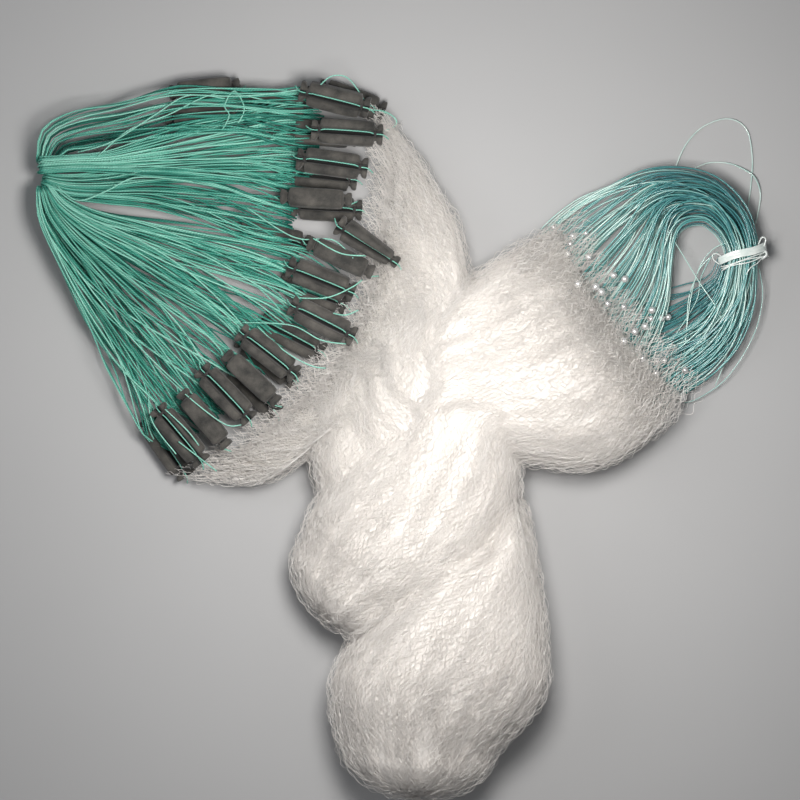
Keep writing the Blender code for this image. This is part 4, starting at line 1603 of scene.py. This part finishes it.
# ---------------------------------------------------------------- the lead line, leads and band
@dataclass
class LeadLine:
    """The hank of lead line: glossy runs round an open ring, bound by the band."""

    radius: float = 0.0006
    runs: int = 132
    inner_runs: int = 40
    lock: int = 6                   # runs that lie together
    least: tuple = (-1.0, -1.0, 0.0009)     # the least that a point's x, y and z may be
    points: int = 54
    rng: np.random.Generator = field(default_factory=lambda: np.random.default_rng(37))

    def paths(self) -> np.ndarray:
        """Return the runs' points, in loose locks that cross each other."""
        bundle = Bundle(LEAD_RING)
        part = np.linspace(0.0, 1.0, self.points)
        lines = []
        for k in range(self.runs):
            lock = (k // self.lock + 0.5) / (self.runs / self.lock) * 2 - 1
            start = np.clip(lock + self.rng.normal(0, 0.08), -1, 1)
            waist = np.clip(self.rng.uniform(-0.9, 0.9) * 0.7 + start * 0.25, -0.95, 0.95)
            end = np.clip(self.rng.uniform(-0.95, 0.95), -1, 1)
            across = np.interp(part, [0.0, 0.18, 0.52, 0.75, 1.0],
                               [start, start * 0.97, waist, (waist + end) / 2, end])
            for _ in range(6):
                across[1:-1] = (across[:-2] + across[1:-1] + across[2:]) / 3
            level = self.rng.uniform(-0.95, 0.95)
            up = level + 0.3 * np.sin(part * self.rng.uniform(3, 7) + self.rng.uniform(0, 6))
            limit = np.sqrt(np.maximum(1 - (0.96 * across) ** 2, 0.06))
            up = np.clip(up, -1, 1) * limit
            at = part * self.rng.uniform(0.9, 1.0)
            at = at + self.rng.uniform(0.0, 0.045) * (1 - part)
            lines.append(bundle.inside(at, across, up))
        return np.array(lines)

    def inner(self) -> np.ndarray:
        """Return the runs that turn tightly round the opening, low in the hank, which take a dark
        tone as painted shade.
        """
        bundle = Bundle(INNER_RUNS)
        part = np.linspace(0.0, 1.0, self.points)
        lines = []
        for _ in range(self.inner_runs):
            across = self.rng.uniform(-0.98, 0.98) + 0.1 * np.sin(
                part * self.rng.uniform(2, 6) + self.rng.uniform(0, 6))
            up = self.rng.uniform(-0.8, 0.8) * np.ones(self.points)
            lines.append(bundle.inside(part * self.rng.uniform(0.92, 1.0), across, up))
        return np.maximum(lines, self.least)

    def strays(self, strands: Strands) -> None:
        """Add the thin loose runs in and beside the ring's opening."""
        routes = (
            ((0.2655, 0.1545, 0.02), (0.254, 0.1505, 0.014), (0.244, 0.14, 0.01),
             (0.238, 0.126, 0.01), (0.232, 0.107, 0.01), (0.23, 0.07, 0.01),
             (0.229, 0.042, 0.008)),
            ((0.249, 0.142, 0.02), (0.242, 0.126, 0.013), (0.238, 0.106, 0.011),
             (0.22, 0.077, 0.01)),
            ((0.2552, 0.1464, 0.016), (0.241, 0.133, 0.012), (0.233, 0.106, 0.014),
             (0.227, 0.052, 0.012)),
            ((0.289, 0.133, 0.014), (0.292, 0.11, 0.012), (0.285, 0.079, 0.01),
             (0.264, 0.045, 0.008), (0.241, 0.028, 0.006), (0.229, 0.024, 0.005)),
            ((0.213, 0.164, 0.026), (0.226, 0.144, 0.022), (0.24, 0.122, 0.017),
             (0.256, 0.096, 0.02), (0.263, 0.067, 0.014), (0.254, 0.038, 0.008)),
            ((0.278, 0.107, 0.024), (0.26, 0.096, 0.024), (0.248, 0.082, 0.022),
             (0.24, 0.064, 0.016)),
        )
        for k, route in enumerate(routes):
            strands.add(smooth_route(route, 30), self.radius * 0.75, 0.75 if k % 2 else 0.9)

    def build(self) -> None:
        """Make the hank."""
        strands = Strands(6)
        paths = np.maximum(self.paths(), self.least)
        part = np.linspace(0.0, 1.0, self.points)
        # painted highlights and painted shade: some stretches along the ring are made paler, others
        # darker
        painted_highlight_and_shade = np.interp(part, [0.0, 0.22, 0.34, 0.48, 0.62, 0.78, 1.0],
                          [0.2, 0.14, -0.16, -0.14, 0.16, 0.1, -0.1])
        tones = np.clip(self.rng.normal(0.48, 0.22, (len(paths), 1)) + painted_highlight_and_shade, 0.0, 1.0)
        strands.add(paths, self.radius * self.rng.uniform(0.85, 1.1, len(paths)), tones)
        # painted shade: the low inner runs take a dark tone
        strands.add(self.inner(), self.radius * 0.9, 0.12)
        self.strays(strands)
        finish_piece(strands.build("lead_line_runs", LEAD_LINE.material()), Slot.LEAD_LINE,
                     "lead_line_hank")


@dataclass
class Leads:
    """The small leads on the netting's right edge, each a pierced bead, and a bigger one."""

    radius: float = 0.0031
    places: tuple = (
        (0.1225, 0.1665, 0.012), (0.1375, 0.1592, 0.02), (0.148, 0.1615, 0.018),
        (0.1352, 0.1528, 0.022), (0.1336, 0.144, 0.026), (0.1408, 0.12, 0.032),
        (0.1328, 0.1128, 0.036), (0.1552, 0.1176, 0.03), (0.16, 0.1136, 0.03),
        (0.1792, 0.124, 0.026), (0.1784, 0.1016, 0.026), (0.2016, 0.0992, 0.018),
        (0.2008, 0.092, 0.018), (0.2152, 0.0936, 0.014), (0.2096, 0.0928, 0.016),
        (0.1872, 0.0816, 0.027), (0.1776, 0.0736, 0.03), (0.1792, 0.06, 0.03),
        (0.1936, 0.06, 0.026), (0.2112, 0.0584, 0.02), (0.2048, 0.0576, 0.022),
        (0.184, 0.052, 0.029), (0.2048, 0.048, 0.02), (0.2, 0.0424, 0.021),
        (0.2288, 0.0504, 0.016), (0.17, 0.127, 0.027), (0.165, 0.104, 0.03),
        (0.19, 0.068, 0.021), (0.196, 0.086, 0.02), (0.15, 0.142, 0.023),
    )
    big: tuple = (0.2264, 0.0288, 0.013)
    big_size: float = 1.35          # against the others
    bore: float = 0.93              # how far out along the axis the bore's rim lies
    rng: np.random.Generator = field(default_factory=lambda: np.random.default_rng(3))

    def pattern(self) -> bpy.types.Object:
        """Model one bead, with its bore along Z."""
        deselect()
        bpy.ops.mesh.primitive_uv_sphere_add(segments=14, ring_count=9, radius=self.radius)
        bead = activate(bpy.context.active_object)
        for polygon in bead.data.polygons:
            polygon.select = abs(polygon.center.z) > self.bore * self.radius
        bpy.context.tool_settings.mesh_select_mode = (False, False, True)
        bpy.ops.object.mode_set(mode="EDIT")
        bpy.ops.mesh.delete(type="FACE")
        bpy.context.tool_settings.mesh_select_mode = (False, True, False)
        bpy.ops.mesh.select_all(action="DESELECT")
        bpy.ops.mesh.select_non_manifold()
        bpy.ops.mesh.bridge_edge_loops()
        bpy.ops.mesh.select_all(action="SELECT")
        bpy.ops.mesh.normals_make_consistent(inside=False)
        bpy.ops.object.mode_set(mode="OBJECT")
        bpy.context.tool_settings.mesh_select_mode = (True, False, False)
        activate(bead)
        bpy.ops.object.shade_smooth_by_angle(angle=math.radians(50))
        return bead

    def build(self) -> None:
        """Make the beads at their places, as one piece."""
        pattern = self.pattern()
        copies = []
        for k, (x, y, z) in enumerate((*self.places, self.big)):
            copy = new_object(f"lead_{k:02d}", pattern.data.copy())
            size = self.big_size if (x, y, z) == self.big else self.rng.uniform(0.82, 1.08)
            turn = Matrix.Rotation(math.radians(self.rng.uniform(20, 80)), 4, "Z")
            lean = Matrix.Rotation(math.radians(self.rng.uniform(60, 110)), 4, "Y")
            copy.data.transform(Matrix.Translation(Vector(placed((x, y, z)))) @ turn @ lean
                                @ Matrix.Scale(size, 4))
            copies.append(copy)
        bpy.data.objects.remove(pattern)
        finish_piece(join(copies, "leads", LEAD.material()), Slot.LEADS)


@dataclass
class Band:
    """The white band round the lead line's hank, with its knot and the thin wraps beside it."""

    middle: tuple = (0.2748, 0.145, 0.017)
    heading: float = -85.5
    tilt: float = 12.0
    half_width: float = 0.0192
    half_height: float = 0.0146
    length: float = 0.0066
    wall: float = 0.0011
    wrap_gap: float = 0.0004        # how far outside the hank the thin wraps lie
    sides: int = 40

    def matrix(self) -> Matrix:
        """Return the band's place, with its axis along the hank."""
        turn = math.radians(self.heading + self.tilt)
        return (Matrix.Translation(Vector(placed(self.middle)))
                @ Matrix.Rotation(turn, 4, "Z") @ Matrix.Rotation(math.pi / 2, 4, "Y"))

    def sleeve(self) -> None:
        """Make the band itself: an oval sleeve with soft edges and slight ridges."""
        deselect()
        bpy.ops.mesh.primitive_cylinder_add(
            vertices=self.sides, radius=1.0, depth=self.length, end_fill_type="NOTHING")
        band = bpy.context.active_object
        band.name = "white_band"
        with editing(band):
            bpy.ops.transform.resize(value=(self.half_height, self.half_width, 1.0),
                                     center_override=(0, 0, 0))
            bpy.ops.mesh.subdivide(number_cuts=3)
        for vertex in band.data.vertices:
            ridge = 0.0004 * math.cos(vertex.co.z / self.length * math.tau * 2.5)
            across = Vector((vertex.co.x, vertex.co.y, 0.0)).normalized()
            vertex.co += across * ridge
            vertex.co.z += 0.0006 * math.sin(3 * math.atan2(vertex.co.y, vertex.co.x))
        apply_modifier(band, "SOLIDIFY", thickness=self.wall, offset=1.0)
        apply_modifier(band, "BEVEL", width=0.0004, segments=2, limit_method="ANGLE")
        band.data.transform(self.matrix())
        band.data.shade_smooth()
        band.data.materials.append(WHITE_BAND.material())
        finish_piece(band, Slot.BAND, "hank_band")

    def wraps(self) -> None:
        """Make the knot, its curls and the thin wraps just below the band."""
        strands = Strands(6)
        turn = np.linspace(0.0, math.tau, self.sides)
        tall, wide = self.half_height + self.wrap_gap, self.half_width + self.wrap_gap
        for k, shift in enumerate((0.0052, 0.0064, 0.0078)):
            ring = np.column_stack([tall * np.cos(turn), wide * np.sin(turn),
                                    shift + 0.0007 * np.sin(turn * (2 + k) + k)])
            strands.add(moved(ring, self.matrix()), 0.0005, 0.85)
        knot = (
            ((0.289, 0.144, 0.022), (0.2925, 0.1465, 0.025), (0.293, 0.143, 0.027),
             (0.2895, 0.141, 0.025), (0.2885, 0.145, 0.021), (0.2925, 0.148, 0.02),
             (0.294, 0.144, 0.02), (0.2905, 0.14, 0.019)),
            ((0.287, 0.152, 0.024), (0.2895, 0.1575, 0.026), (0.2925, 0.1565, 0.026),
             (0.292, 0.152, 0.025), (0.29, 0.146, 0.023)),
            ((0.257, 0.143, 0.022), (0.2535, 0.1448, 0.02), (0.2508, 0.144, 0.018),
             (0.2515, 0.14, 0.018), (0.256, 0.1362, 0.02)),
            ((0.2905, 0.142, 0.024), (0.286, 0.137, 0.029), (0.28, 0.133, 0.031),
             (0.276, 0.127, 0.029)),
        )
        for route, radius in zip(knot, (0.0009, 0.0006, 0.0004, 0.0004)):
            strands.add(smooth_route(route, 40), radius, 0.95)
        finish_piece(strands.build("band_knot_and_wraps", CLEAR_LINE.material()), Slot.BAND)

    def build(self) -> None:
        """Make the band and what is tied on it."""
        self.sleeve()
        self.wraps()


# ---------------------------------------------------------------- the whole
def main() -> None:
    """Build the net piece by piece."""
    logging.basicConfig(level=logging.INFO, format="%(name)s %(message)s")
    studio = Studio()
    studio.camera()
    LooseBights().build()
    Netting().build()
    FloatLine().build()
    Floats().build()
    LeadLine().build()
    Leads().build()
    Band().build()
    studio.floor()
    studio.lights()


if __name__ == "__main__":
    main()
